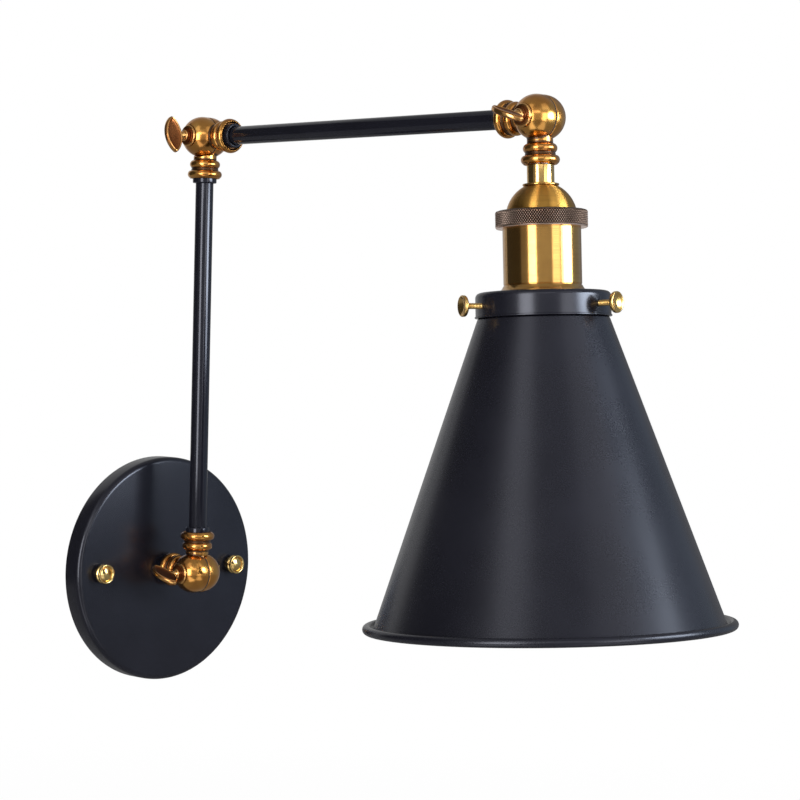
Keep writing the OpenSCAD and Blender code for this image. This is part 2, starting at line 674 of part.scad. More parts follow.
// Shell with a flared lip, and a threaded end that passes through the carrier
module socket_shell() color(brass) down_head() rotate_extrude() difference() {
    polygon([[0, shell_top], [shell_d / 2, shell_top], [shell_d / 2, lip_top],
        [lip_d / 2, gallery_top - lip_edge_h], [lip_d / 2, gallery_top],
        [collar_thread_r, gallery_top], [collar_thread_r, thread_end], [0, thread_end]]);
    square([shell_bore_d / 2, thread_end + over]);
    square([dome_r + thread_gap, insulator_top]);
}
module socket_insulator() color("white") down_head() difference() {
    rod(insulator_r, insulator_top, thread_end);
    rod(lamp_shell_r + thread_gap, insulator_floor, thread_end + over);
    rod(contact_r + thread_gap, insulator_top - over, insulator_floor + over);
    for (side = [-1, 1]) translate([side * terminal_x, 0, 0])
        rod(terminal_r + thread_gap, insulator_top - over, insulator_top + terminal_depth);
}
module terminal_screws() color(steel) down_head() for (side = [-1, 1])
    translate([side * terminal_x, 0, 0]) {
        rod(terminal_r, insulator_top, insulator_top + terminal_len);
        rod(terminal_r + terminal_head_w, insulator_top - terminal_head_h, insulator_top);
    }
module lamp_screw_shell() color(bright_brass) down_head() difference() {
    lamp_shell_end = lamp_shell_top + lamp_shell_len;
    rod(lamp_shell_r, lamp_shell_top, lamp_shell_end);
    rod(lamp_thread_d / 2, lamp_shell_top + lamp_shell_wall, lamp_shell_end + over);
    rod(contact_r + contact_room, lamp_shell_top - over, lamp_shell_top + over);
}
module centre_contact() color(bright_brass) down_head() {
    pad_top = lamp_shell_top + over;
    rod(contact_r, insulator_top + contact_sunk, pad_top + contact_pad_lap);
    rod(contact_r + contact_pad_w, pad_top, foot_at);
}
// Leads that fan out to the two terminal screws
module socket_leads() color(lead_black) down_head() {
    fan_top = cap_top + fan_drop;
    fan_h = insulator_top - terminal_head_h - fan_top;
    fan_x = terminal_x - lead_pitch / 2;
    lead_pair(ball_r + lead_clear, fan_top);
    for (side = [-1, 1]) translate([side * lead_pitch / 2, 0, fan_top]) {
        sphere(d = lead_d);
        rotate([0, side * atan2(fan_x, fan_h), 0])
            rod(lead_d / 2, 0, norm([fan_x, fan_h]) - lead_d / 2);
    }
}
module gallery_hole(turn) rotate([0, 0, turn]) translate([0, 0, screw_level])
    rotate([0, 90, 0]) rod(shade_screw_d / 2 + pivot_gap, neck_out_r, gallery_d);
module shade_gallery() color(black) down_head() difference() {
    translate([0, 0, gallery_bottom]) mirror([0, 0, 1]) rotate_extrude($fn = fn_medium)
        difference() {
        union() {
            cup_outline(gallery_d / 2, gallery_h, gallery_edge_r);
            square([gallery_d / 2 + gallery_bead, gallery_bead_h]);
        }
        translate([0, -tiny])
            cup_outline(gallery_d / 2 - gallery_wall, gallery_h - gallery_wall + tiny,
                gallery_edge_r - gallery_wall);
    }
    rod(collar_thread_r + thread_gap, gallery_top - over, gallery_bottom);
    for (turn = shade_screw_turns) gallery_hole(turn);
}
module retaining_ring() color(dark_brass) down_head() difference() {
    top = gallery_top + gallery_wall;
    ring(collar_thread_r + thread_gap, collar_thread_r + retaining_w, top, top + retaining_t);
    for (turn = [0, 90]) rotate([0, 0, turn]) translate([0, 0, top + retaining_t])
        cube([collar_thread_d + 4 * key_w, key_w, key_w], center = true);
}
// Shade: a collar with a small lip, a straight cone and a rolled rim
module shade_outline() {
    lip_at = gallery_top + gallery_wall + neck_lip_at;
    neck_in_r = neck_out_r - shade_wall;
    translate([neck_in_r, lip_at]) square([shade_wall, cone_top + shade_wall - lip_at]);
    translate([neck_in_r, lip_at]) square([shade_wall + neck_lip, shade_wall]);
    polygon([[neck_in_r, cone_top], [cone_top_r, cone_top], [cone_r, cone_bottom],
        [bead_x, cone_bottom], [bead_x, cone_bottom + shade_wall],
        [cone_r - shade_wall, cone_bottom + shade_wall],
        [cone_top_r - shade_wall, cone_top + shade_wall], [neck_in_r, cone_top + shade_wall]]);
    translate([bead_x, cone_bottom]) circle(d = bead_d, $fn = fn_bead);
}
module shade() color(black) down_head() rotate_extrude($fn = fn_large) shade_outline();
// A screw that points outwards from the carrier, with a dished round head
module shade_screw(k) color(bright_brass) down_head() rotate([0, 0, shade_screw_turns[k]])
    translate([0, 0, screw_level]) rotate([0, 90, 0]) {
        head_at = gallery_d / 2 + shade_screw_out;
        difference() {
            union() {
                rod(shade_screw_d / 2, neck_out_r + face_gap, head_at + over);
                translate([0, 0, head_at])
                    cylinder(r1 = shade_head_d / 2 - head_edge, r2 = shade_head_d / 2,
                        h = head_edge);
                rod(shade_head_d / 2, head_at + head_edge, head_at + shade_head_t);
            }
            translate([0, 0, head_at + head_edge + dish_sphere_r])
                sphere(r = dish_sphere_r, $fn = fn_medium);
        }
    }
module shade_screw_front() shade_screw(0);
module shade_screw_left() shade_screw(1);
module shade_screw_right() shade_screw(2);

// Bulb: a screw base with a foot contact, and a round glass on a tapering neck
module bulb_base() color(steel) down_head() {
    base_r = bulb_base_d / 2;
    rod(foot_r, foot_at, foot_at + foot_h);
    translate([0, 0, foot_at + foot_h])
        cylinder(r1 = foot_cone_r, r2 = base_r - base_shoulder, h = foot_cone_h);
    difference() {
        rod(base_r, base_top, base_bottom);
        rod(base_r - base_wall, base_top + base_floor, base_bottom + over);
    }
}
// Outline of the bulb's round part, of radius r, on a neck that starts at height foot
module glass_outline(r, foot) {
    taper = asin((r - bulb_base_d / 2 + glass_taper_in) / (bulb_mid_at - base_bottom));
    neck_r = bulb_base_d / 2 - glass_neck_in - (bulb_r - r);
    translate([0, bulb_mid_at]) intersection() {
        circle(r, $fn = fn_large);
        translate([0, -r]) square([r, 2 * r]);
    }
    polygon([[0, foot], [neck_r, foot], [neck_r, base_bottom + glass_neck_out],
        [r * cos(taper), bulb_mid_at - r * sin(taper)], [0, bulb_mid_at]]);
}
module bulb_glass() color([0.95, 0.95, 0.90, 0.7]) down_head() rotate_extrude($fn = fn_medium)
    difference() {
        glass_outline(bulb_r, base_bottom - glass_neck_up);
        glass_outline(bulb_r - glass_wall, base_bottom - glass_neck_up - over);
    }

canopy();
mounting_crossbar();
crossbar_studs();
stud_locknuts();
cap_nuts();
earth_screw();
earth_lead();
wall_seat_ring();
wall_nipple();
nipple_washer();
nipple_locknut();
nipple_bushing();
supply_leads();
wall_knuckle_base();
wall_friction_washer();
wall_thumb_screw();
wall_knuckle_arm();
lower_tube();
lower_tube_collars();
lower_bushings();
lower_leads();
elbow_knuckle_lower();
elbow_friction_washer();
elbow_thumb_screw();
elbow_knuckle_upper();
upper_tube();
upper_tube_collars();
upper_bushings();
upper_leads();
head_knuckle_arm();
head_friction_washer();
head_thumb_screw();
head_knuckle_socket();
socket_nipple();
socket_sleeve();
socket_washer();
socket_cap();
knurled_ring();
socket_shell();
socket_insulator();
terminal_screws();
lamp_screw_shell();
centre_contact();
socket_leads();
shade_gallery();
retaining_ring();
shade();
shade_screw_front();
shade_screw_left();
shade_screw_right();
bulb_base();
bulb_glass();
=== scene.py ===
# %% [markdown]
# # A swing arm wall lamp
# This lesson dresses the CAD model of a wall lamp for a studio picture. A canopy screws to the wall,
# two tubes swing on three brass knuckles, and a lamp holder carries a cone shade. The CAD model
# already says where every part is and how big it is, so it stays fixed, as a frame. A part whose CAD
# shape is right only gets a finish. A part that needs soft edges, ridges or the skin of a casting is
# modelled again here, and takes the CAD part's place.

# %% Load the CAD model
import json
from math import asin, atan2, cos, hypot, pi, radians, sin, sqrt

import bmesh
import bpy
import numpy as np
from mathutils import Matrix, Vector


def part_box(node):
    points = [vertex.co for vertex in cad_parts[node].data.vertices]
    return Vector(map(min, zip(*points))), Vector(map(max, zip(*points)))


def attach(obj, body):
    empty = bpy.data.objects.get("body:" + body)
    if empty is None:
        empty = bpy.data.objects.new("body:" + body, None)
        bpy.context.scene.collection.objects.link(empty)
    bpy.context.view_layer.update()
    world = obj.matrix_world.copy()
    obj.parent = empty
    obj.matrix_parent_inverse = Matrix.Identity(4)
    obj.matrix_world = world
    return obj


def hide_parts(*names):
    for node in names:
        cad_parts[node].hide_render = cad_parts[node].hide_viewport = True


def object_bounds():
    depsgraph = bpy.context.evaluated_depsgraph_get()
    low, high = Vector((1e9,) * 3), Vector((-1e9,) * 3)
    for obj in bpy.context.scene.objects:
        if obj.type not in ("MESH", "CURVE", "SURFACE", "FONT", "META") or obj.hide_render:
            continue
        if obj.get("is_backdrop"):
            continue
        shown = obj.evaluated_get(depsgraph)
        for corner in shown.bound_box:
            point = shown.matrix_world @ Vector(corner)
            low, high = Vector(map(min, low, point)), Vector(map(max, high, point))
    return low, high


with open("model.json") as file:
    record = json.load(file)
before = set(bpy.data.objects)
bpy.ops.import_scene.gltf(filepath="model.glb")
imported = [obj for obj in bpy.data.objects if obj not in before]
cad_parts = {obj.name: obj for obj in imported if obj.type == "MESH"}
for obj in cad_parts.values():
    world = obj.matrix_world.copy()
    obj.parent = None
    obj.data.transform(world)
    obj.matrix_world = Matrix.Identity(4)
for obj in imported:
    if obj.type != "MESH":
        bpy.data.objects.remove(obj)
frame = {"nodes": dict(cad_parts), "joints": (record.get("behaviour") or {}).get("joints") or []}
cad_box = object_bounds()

nodes = frame["nodes"]
mm = 0.001

# %% [markdown]
# ## Places
# A part could be modelled right where it hangs, but then every angle of the arm would get into every
# number. It is easier to model it round the origin, along the Z axis, and to move it afterwards. Each
# place below is a matrix that says where the origin goes and how the axes turn. The joints give the
# points. The shade's three screws point straight out from the head's axis, so the cross product of two
# of their directions is that axis, which leans a little away from the wall.

# %% Find the hinges and the lean of the head
joints = {joint["name"]: joint for joint in frame["joints"]}
wall_point, elbow_point, head_point = (
    Vector(joints[name]["pos_m"]) for name in ("wall_hinge", "elbow_hinge", "head_hinge")
)
head_axis = Vector(joints["front_screw_turn"]["axis"]).cross(
    Vector(joints["left_screw_turn"]["axis"])
).normalized()
if head_axis.z > 0:
    head_axis.negate()
head_lean = atan2(-head_axis.y, -head_axis.z)
print("the head leans", round(head_lean / radians(1), 2), "degrees")


quarter, half_turn, full_turn = pi / 2, pi, 2 * pi


def place(point, turn):
    """A matrix that turns about X and then moves the origin to a point."""
    return Matrix.Translation(point) @ Matrix.Rotation(turn, 4, "X")


on_canopy = place((0, 0, 0), quarter)
at_wall = place(wall_point, 0)
to_room = place(elbow_point, quarter)
down_head = place(head_point, half_turn - head_lean)

# %% [markdown]
# ## Measuring the CAD
# The sizes could be typed in again, but two lists of sizes soon disagree. So they are read from the CAD
# meshes, and each new piece fits its frame. A node is measured in a place's own axes: its lowest and
# highest height along Z, and its greatest distance from that axis.


# %% A ruler for CAD nodes
def measured(node, where):
    """Lowest height, highest height and radius of a node, in millimetres, in a place's own axes."""
    back = where.inverted()
    points = np.array([back @ v.co for v in nodes[node].data.vertices]) / mm
    return points[:, 2].min(), points[:, 2].max(), np.hypot(points[:, 0], points[:, 1]).max()


_, canopy_face, canopy_r = measured("canopy", on_canopy)
print("canopy:", round(2 * canopy_r, 2), "mm across,", round(canopy_face, 2), "mm deep")

# %% [markdown]
# ## Camera
# The picture was taken from the left, a little below the upper arm, and with a long lens, so lines
# that run away from the camera stay almost parallel. A Track To constraint would aim the camera too,
# but it keeps the horizon level. This camera is rolled by about a degree, so its three axes are worked
# out from its heading, pitch and roll, and written into its matrix.

# %% Set up the camera
camera_place = Vector((-0.86517, -1.04191, 0.14288))
heading, pitch, roll = radians(-45.640), radians(-1.838), radians(1.329)
forward = Vector((-sin(heading) * cos(pitch), cos(heading) * cos(pitch), sin(pitch)))
level = Vector((cos(heading), sin(heading), 0))
upright = level.cross(forward)
across = level * cos(roll) + upright * sin(roll)
over = upright * cos(roll) - level * sin(roll)
camera = bpy.data.objects.new("camera", bpy.data.cameras.new("camera"))
camera.data.sensor_width = 36
camera.data.lens = 105.104
camera.data.clip_start = 0.05
camera.matrix_world = Matrix.Translation(camera_place) @ Matrix(
    (across, over, -forward)
).transposed().to_4x4()
bpy.context.scene.collection.objects.link(camera)
bpy.context.scene.camera = camera
bpy.context.scene.view_settings.view_transform = "Standard"
print("camera at", [round(c, 3) for c in camera_place])

# %% [markdown]
# ## Modelling helpers
# ### Selecting
# An operator works on whatever is selected, and the CAD parts come in selected. So each step starts by
# leaving edit mode and clearing the selection, and then picks what it is about to change.


# %% Select pieces
def clear_selection():
    """Goes back to object mode with nothing selected."""
    if bpy.context.mode != "OBJECT":
        bpy.ops.object.mode_set(mode="OBJECT")
    bpy.ops.object.select_all(action="DESELECT")


def pick(*pieces):
    """Selects pieces; the first one is the active one."""
    clear_selection()
    for piece in pieces:
        piece.select_set(True)
    bpy.context.view_layer.objects.active = pieces[0]
    return pieces[0]


# %% [markdown]
# ### The lathe
# Most of this lamp was turned or spun on a lathe, so most pieces are solids of revolution. They could
# be stacked from cylinders, but the steps between them would have no real edges. Here one outline is
# drawn point by point, by extruding a single vertex, and spun round the Z axis. A boolean later works
# best on shapes a few units across, so one unit is a millimetre until a piece is set in its place. A
# spin can leave a solid inside out, which shows as a negative volume, and then its faces are flipped.

# %% Turn an outline on the lathe
merge_distance = 0.002
clear_of_axis = 0.001


def spun(name, outline, steps=96):
    """A solid of revolution about Z. The outline is a list of (radius, height), in millimetres."""
    clear_selection()
    bpy.ops.mesh.primitive_plane_add(size=1)
    piece = bpy.context.object
    piece.name = name
    bpy.ops.object.mode_set(mode="EDIT")
    bpy.ops.mesh.select_mode(type="VERT")
    bpy.ops.mesh.select_all(action="SELECT")
    bpy.ops.mesh.merge(type="CENTER")
    here = Vector((outline[0][0], 0, outline[0][1]))
    bpy.ops.transform.translate(value=here)
    for radius, height in outline[1:]:
        there = Vector((radius, 0, height))
        bpy.ops.mesh.extrude_region_move(TRANSFORM_OT_translate={"value": there - here})
        here = there
    bpy.ops.mesh.select_all(action="SELECT")
    bpy.ops.mesh.spin(steps=steps, angle=full_turn, center=(0, 0, 0), axis=(0, 0, 1))
    bpy.ops.mesh.select_all(action="SELECT")
    bpy.ops.mesh.remove_doubles(threshold=merge_distance)
    bpy.ops.mesh.normals_make_consistent(inside=False)
    if bmesh.from_edit_mesh(piece.data).calc_volume(signed=True) < 0:
        bpy.ops.mesh.flip_normals()
    bpy.ops.object.mode_set(mode="OBJECT")
    return piece


# %% Curves for an outline
corner_share, least_corner = 0.45, 0.01


def arc(middle, radius, start, end, steps=8):
    """Points on an arc of an outline, from one angle to another, in degrees."""
    turns = [radians(start + (end - start) * k / steps) for k in range(steps + 1)]
    return [(middle[0] + radius * cos(t), middle[1] + radius * sin(t)) for t in turns]


def softened(corners, radius=0.3, steps=3):
    """A closed outline whose corners are rounded, each by at most a radius, in millimetres."""
    points = []
    for k, corner in enumerate(corners):
        before = Vector(corners[k - 1]) - Vector(corner)
        after = Vector(corners[(k + 1) % len(corners)]) - Vector(corner)
        reach = min(radius, before.length * corner_share, after.length * corner_share)
        on_axis = corner[0] < clear_of_axis
        if reach < least_corner or on_axis:
            points.append(tuple(corner))
            continue
        a, b = before.normalized() * reach, after.normalized() * reach
        for step in range(steps + 1):
            t = step / steps
            points.append(tuple(Vector(corner) + a * (1 - t) ** 2 + b * t**2))
    if corners[0][0] > clear_of_axis or corners[-1][0] > clear_of_axis:
        points.append(points[0])
    return points


def ring(name, r_in, r_out, low, high, soft=0.3, steps=96):
    """A turned ring with soft edges."""
    corners = [(r_in, low), (r_out, low), (r_out, high), (r_in, high)]
    return spun(name, softened(corners, soft), steps)


# %% [markdown]
# ### Welding, cutting and placing
# A boolean modifier welds one solid to another or cuts it away, as a torch or a drill would. The
# Manifold solver is quick and gives the same mesh each time, as long as both solids are closed. A
# finished piece is moved to its place in its mesh, so its object stays at the origin, unturned and
# unscaled, as the CAD parts are, and a pattern on Object coordinates lies right on all of them.


# %% Weld and cut
def apply_modifier(piece, kind, **settings):
    """Adds a modifier, sets it and applies it."""
    pick(piece)
    modifier = piece.modifiers.new(kind, kind)
    for setting, value in settings.items():
        setattr(modifier, setting, value)
    bpy.ops.object.modifier_apply(modifier=modifier.name)
    return piece


def combined(piece, other, operation):
    """Unites a piece with another, or cuts the other out of it. The other is used up."""
    apply_modifier(piece, "BOOLEAN", operation=operation, object=other, solver="MANIFOLD")
    bpy.data.objects.remove(other)
    return piece


# %% Turn, join and copy
def turned_over(piece, turn, axis):
    """Turns a piece about the origin, in its mesh."""
    piece.data.transform(Matrix.Rotation(turn, 4, axis))
    return piece


def joined(name, *pieces):
    """Several shells as one piece."""
    piece = pick(*pieces)
    bpy.ops.object.join()
    piece.name = name
    return piece


def copy_of(piece, name):
    """A copy with its own mesh."""
    pick(piece)
    bpy.ops.object.duplicate()
    twin = bpy.context.object
    twin.name = name
    return twin


def smooth(piece, angle=32):
    """Smooth shading, with sharp edges where faces meet at more than an angle in degrees."""
    pick(piece)
    bpy.ops.object.shade_smooth_by_angle(angle=radians(angle))
    return piece


# %% Set a piece in its place
def set_in_place(piece, where, body, node, finish):
    """Moves a piece to its place, gives it its body and its finish, and hides the CAD part it replaces."""
    pick(piece)
    piece.matrix_world = where @ Matrix.Scale(mm, 4)
    bpy.ops.object.transform_apply(location=True, rotation=True, scale=True)
    piece.data.materials.clear()
    piece.data.materials.append(finish)
    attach(piece, body)
    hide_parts(node)
    print(piece.name, "has", len(piece.data.polygons), "faces")
    return piece


# %% [markdown]
# ## Finishes
# A finish could be a painted picture, but that has a fixed sharpness and needs a map for every part.
# Here each finish is made from nodes. Noise in Object coordinates keeps its size on every part, because
# all parts share one origin. A colour ramp turns noise into colour, a Map Range node turns it into
# roughness, and a Bump node turns it into fine relief.


# %% Start a material and add to it
def new_finish(name, **sockets):
    """A material with a Principled shader, and the sockets that are the same all over set on it."""
    finish = bpy.data.materials.new(name)
    finish.use_nodes = True
    for socket, value in sockets.items():
        finish.node_tree.nodes["Principled BSDF"].inputs[socket.replace("_", " ")].default_value = value
    return finish


def add_node(finish, kind, **settings):
    """A new node, with its settings."""
    made = finish.node_tree.nodes.new(kind)
    for setting, value in settings.items():
        setattr(made, setting, value)
    return made


def wire(finish, start, end):
    """Joins an output to an input."""
    finish.node_tree.links.new(start, end)


def shader_of(finish):
    """The material's Principled shader."""
    return finish.node_tree.nodes["Principled BSDF"]


# %% Noise that stays on the surface
def surface_point(finish, where=None, stretch=(1, 1, 1)):
    """Object coordinates, seen in a place's own axes and stretched along them."""
    coordinates = add_node(finish, "ShaderNodeTexCoord").outputs["Object"]
    if where is None and stretch == (1, 1, 1):
        return coordinates
    back = (where or Matrix()).inverted()
    turn = add_node(finish, "ShaderNodeMapping", vector_type="POINT")
    turn.inputs["Location"].default_value = back.to_translation()
    turn.inputs["Rotation"].default_value = back.to_euler()
    wire(finish, coordinates, turn.inputs["Vector"])
    scale = add_node(finish, "ShaderNodeMapping", vector_type="POINT")
    scale.inputs["Scale"].default_value = stretch
    wire(finish, turn.outputs["Vector"], scale.inputs["Vector"])
    return scale.outputs["Vector"]


def noise(finish, scale, detail=3, point=None):
    """Noise with a number of features per metre."""
    made = add_node(finish, "ShaderNodeTexNoise")
    made.inputs["Scale"].default_value = scale
    made.inputs["Detail"].default_value = detail
    wire(finish, point or surface_point(finish), made.inputs["Vector"])
    return made.outputs["Fac"]


# %% Turn noise into colours and values
def ramp(finish, source, *stops):
    """A colour for each height of the source."""
    made = add_node(finish, "ShaderNodeValToRGB")
    elements = made.color_ramp.elements
    while len(elements) < len(stops):
        elements.new(0.5)
    for element, (position, colour) in zip(elements, stops):
        element.position = position
        element.color = (*colour, 1)
    wire(finish, source, made.inputs["Fac"])
    return made.outputs["Color"]


def scaled(finish, source, low, high, start=0.0, end=1.0):
    """The source from start to end becomes a value from low to high."""
    made = add_node(finish, "ShaderNodeMapRange")
    for socket, value in zip(("From Min", "From Max", "To Min", "To Max"), (start, end, low, high)):
        made.inputs[socket].default_value = value
    wire(finish, source, made.inputs["Value"])
    return made.outputs["Result"]


def mixed(finish, share, first, second):
    """Two colours mixed by a share."""
    made = add_node(finish, "ShaderNodeMix", data_type="RGBA")
    wire(finish, share, made.inputs["Factor"])
    for socket, colour in (("A", first), ("B", second)):
        target = [i for i in made.inputs if i.name == socket and i.type == "RGBA"][0]
        if isinstance(colour, tuple):
            target.default_value = (*colour, 1)
        else:
            wire(finish, colour, target)
    return [o for o in made.outputs if o.type == "RGBA"][0]


def sums(finish, operation, first, second):
    """Two values put together by an operation."""
    made = add_node(finish, "ShaderNodeMath", operation=operation)
    for socket, value in zip(made.inputs, (first, second)):
        if isinstance(value, (int, float)):
            socket.default_value = value
        else:
            wire(finish, value, socket)
    return made.outputs["Value"]


# %% Relief, and values kept on the mesh
def relief(finish, *layers):
    """Bump from one or more (source, height in mm) layers."""
    normal = None
    for source, height in layers:
        made = add_node(finish, "ShaderNodeBump")
        made.inputs["Strength"].default_value = 1
        made.inputs["Distance"].default_value = height * mm
        wire(finish, source, made.inputs["Height"])
        if normal:
            wire(finish, normal, made.inputs["Normal"])
        normal = made.outputs["Normal"]
    wire(finish, normal, shader_of(finish).inputs["Normal"])


def attribute(finish, name):
    """The values that write_attribute kept on the mesh."""
    return add_node(finish, "ShaderNodeAttribute", attribute_name=name).outputs["Fac"]


def write_attribute(piece, name, values):
    """Keeps one value for each vertex, between 0 and 1, for a material to read."""
    layer = piece.data.attributes.new(name, "FLOAT", "POINT")
    layer.data.foreach_set("value", np.clip(values, 0, 1).astype(np.float32))
    return piece


# %% [markdown]
# ### Satin black
# The canopy, the tubes, the collars and the shade are powder coated. The coat is nearly black with a
# little blue, and has the very fine orange-peel skin that baked powder leaves. One black could serve
# everywhere, but the tubes are glossier, so the paint is a function with its roughness and the height
# of its skin as settings.


# %% Mix the black paint
skin_scale = 700
speck_rough = 0.02


def black_paint(name, rough_low, rough_high, peel=1.0):
    """The powder coat, with a lower and a higher roughness."""
    finish = new_finish(name, Specular_IOR_Level=0.5, Specular_Tint=(0.86, 0.88, 1.0, 1))
    clouds = noise(finish, scale=28, detail=4)
    specks = noise(finish, scale=900, detail=2)
    colour = ramp(finish, clouds, (0.3, (0.0070, 0.0069, 0.0108)), (0.7, (0.0098, 0.0098, 0.0150)))
    wire(finish, colour, shader_of(finish).inputs["Base Color"])
    grains = scaled(finish, specks, -speck_rough * peel, speck_rough * peel)
    rough = sums(finish, "ADD", scaled(finish, clouds, rough_low, rough_high), grains)
    wire(finish, rough, shader_of(finish).inputs["Roughness"])
    skin, waves = noise(finish, skin_scale, 2), noise(finish, scale=60, detail=2)
    relief(finish, (skin, 0.005 * peel), (waves, 0.012 * peel))
    return finish


black = black_paint("black_paint", 0.20, 0.27)
tube_black = black_paint("tube_paint", 0.11, 0.16, peel=0.15)
print("mixed", black.name, "and", tube_black.name)

# %% [markdown]
# The shade was spun on a lathe, and faint lines still run round it under the coat. Noise that is
# squeezed along the head's axis gives such lines. The inside of the shade is off-white. It could be a
# second piece with its own material, but the two skins would meet at an edge. So the shade is one
# closed piece, and an attribute says of each vertex whether it lies inside.


# %% Mix the shade's paint
def shade_paint():
    """The powder coat outside, with spun lines, and off-white enamel inside."""
    finish = black_paint("shade_paint", 0.24, 0.31)
    shader = shader_of(finish)
    outside = shader.inputs["Base Color"].links[0].from_socket
    inside = scaled(finish, attribute(finish, "inside"), 0, 1, 0.45, 0.55)
    clouds = noise(finish, scale=40, detail=3)
    white = ramp(finish, clouds, (0.3, (0.66, 0.64, 0.58)), (0.7, (0.76, 0.74, 0.69)))
    wire(finish, mixed(finish, inside, outside, white), shader.inputs["Base Color"])
    along_the_lines = surface_point(finish, down_head, stretch=(14, 14, 900))
    spun_lines = noise(finish, scale=1, detail=3, point=along_the_lines)
    relief(finish, (noise(finish, skin_scale, 2), 0.003), (spun_lines, 0.004))
    return finish


shade_black = shade_paint()
print("mixed", shade_black.name)

# %% [markdown]
# ### Aged cast brass, with painted shade
# The knuckles are cast brass, dipped dark and then polished, so the brown stays only in the hollows.
# The same brown is also painted shade: it darkens the neck under each ball and the grooves between the
# rings, where shade falls.
# Blender's Pointiness input finds hollows too, but only Cycles knows it, and its reach depends on the
# mesh. So the hollows are found here. The mesh is blurred by letting each vertex drift to its
# neighbours. Where the blur lifts a vertex outwards, the vertex lay in a hollow. How far it was lifted
# is kept as an attribute, which the material reads.


# %% Find the hollows of a mesh
level_ground = 0.5
calming_rounds = 3


def mark_hollows(piece, rounds=14, reach=0.09):
    """Writes how hollow each vertex lies, from 0 to 1, as the attribute 'hollow'."""
    mesh = piece.data
    points = np.empty(len(mesh.vertices) * 3)
    mesh.vertices.foreach_get("co", points)
    points = points.reshape(-1, 3)
    normals = np.array([v.normal for v in mesh.vertices])
    ends = np.array([e.vertices for e in mesh.edges])
    counts = np.bincount(ends.ravel(), minlength=len(points)).clip(1)

    def averaged(values):
        """The mean of each vertex's neighbours."""
        total = np.zeros_like(values)
        np.add.at(total, ends[:, 0], values[ends[:, 1]])
        np.add.at(total, ends[:, 1], values[ends[:, 0]])
        return total / counts.reshape([-1] + [1] * (values.ndim - 1))

    soft = points
    for _ in range(rounds):
        soft = averaged(soft)
    depth = ((soft - points) * normals).sum(axis=1) / reach
    for _ in range(calming_rounds):
        depth = averaged(depth)
    return write_attribute(piece, "hollow", level_ground + depth)


# %% Mix the aged brass and its painted shade
def aged_brass():
    """Clouded gold where it stands proud, brown patina and painted shade in the hollows, under a thin
    lacquer.
    """
    finish = new_finish("aged_brass", Metallic=1, Coat_Weight=0.5, Coat_Roughness=0.12)
    shader = shader_of(finish)
    clouds = noise(finish, scale=90, detail=4)
    grain = noise(finish, scale=700, detail=3)
    gold = ramp(
        finish, clouds,
        (0.25, (0.50, 0.190, 0.036)), (0.55, (0.71, 0.325, 0.064)), (0.8, (0.86, 0.48, 0.12)),
    )
    # The dark brown is patina, and also painted shade for the necks under the balls and the ring grooves.
    patina_and_shade_brown = (0.070, 0.030, 0.012)
    hollow = sums(finish, "ADD", attribute(finish, "hollow"), scaled(finish, clouds, -0.14, 0.14))
    dark = scaled(finish, hollow, 0, 0.94, 0.53, 0.68)
    wire(finish, mixed(finish, dark, gold, patina_and_shade_brown), shader.inputs["Base Color"])
    rough = sums(finish, "ADD", scaled(finish, dark, 0.20, 0.42), scaled(finish, grain, -0.04, 0.04))
    wire(finish, rough, shader.inputs["Roughness"])
    relief(finish, (noise(finish, scale=220, detail=3), 0.035), (grain, 0.004))
    return finish


cast_brass = aged_brass()
print("mixed", cast_brass.name)

# %% [markdown]
# ### Brushed brass
# The lamp holder's cap and shell were brushed on a lathe, so very fine lines run round them. The lines
# spread each reflection across themselves. Relief alone could do that only if the lines were larger
# than a pixel, so the shader's anisotropy does it, with a tangent that runs round the axis. Squeezed
# noise adds the lines that can be seen, in colour, roughness and relief. The screws and the cap nuts
# are the same brass, polished brighter.


# %% Mix the turned brass finishes
def turned_brass(name, dull, bright, rough, where, line_height, stretch=0.75, coat=0.3):
    """Brass with fine lines round a place's Z axis. The roughness is a lowest and a highest value."""
    finish = new_finish(
        name, Metallic=1, Anisotropic=stretch, Anisotropic_Rotation=0.25,
        Coat_Weight=coat, Coat_Roughness=0.1,
    )
    shader = shader_of(finish)
    round_the_axis = add_node(finish, "ShaderNodeTangent", direction_type="RADIAL", axis="Z")
    wire(finish, round_the_axis.outputs["Tangent"], shader.inputs["Tangent"])
    along_the_lines = surface_point(finish, where, stretch=(60, 60, 5200))
    lines = noise(finish, scale=1, detail=3, point=along_the_lines)
    clouds = noise(finish, scale=70, detail=3)
    share = sums(finish, "ADD", scaled(finish, lines, 0, 0.55), scaled(finish, clouds, 0, 0.45))
    wire(finish, ramp(finish, share, (0.3, dull), (0.7, bright)), shader.inputs["Base Color"])
    wire(finish, scaled(finish, share, rough[1], rough[0], 0.25, 0.75), shader.inputs["Roughness"])
    relief(finish, (lines, line_height))
    return finish


brushed_line, polished_line = 0.0012, 0.0008
brushed = turned_brass(
    "brushed_brass", (0.48, 0.235, 0.056), (0.69, 0.395, 0.102), (0.17, 0.24), down_head,
    brushed_line, coat=0.5,
)
brushed_dome = turned_brass(
    "brushed_dome", (0.48, 0.23, 0.050), (0.74, 0.41, 0.085), (0.36, 0.42), down_head,
    brushed_line, stretch=1.0, coat=0.1,
)
bright_head = turned_brass(
    "bright_brass", (0.66, 0.39, 0.11), (0.86, 0.58, 0.21), (0.14, 0.22), down_head, polished_line
)
bright_canopy = turned_brass(
    "bright_brass_nuts", (0.72, 0.47, 0.15), (0.90, 0.66, 0.28), (0.12, 0.20), on_canopy, polished_line
)
print("mixed", [finish.name for finish in (brushed, brushed_dome, bright_head, bright_canopy)])

# %% [markdown]
# ### Bronze and thumb screw brass
# The knurled ring was dipped nearly black and then rubbed, so its diamonds shine at their tips. The
# thumb screws are a redder brass, brown in the middle and worn to gold on the rims. Both wear patterns
# follow the shape, not chance, so each reads an attribute of the mesh, and noise only frays its edge.


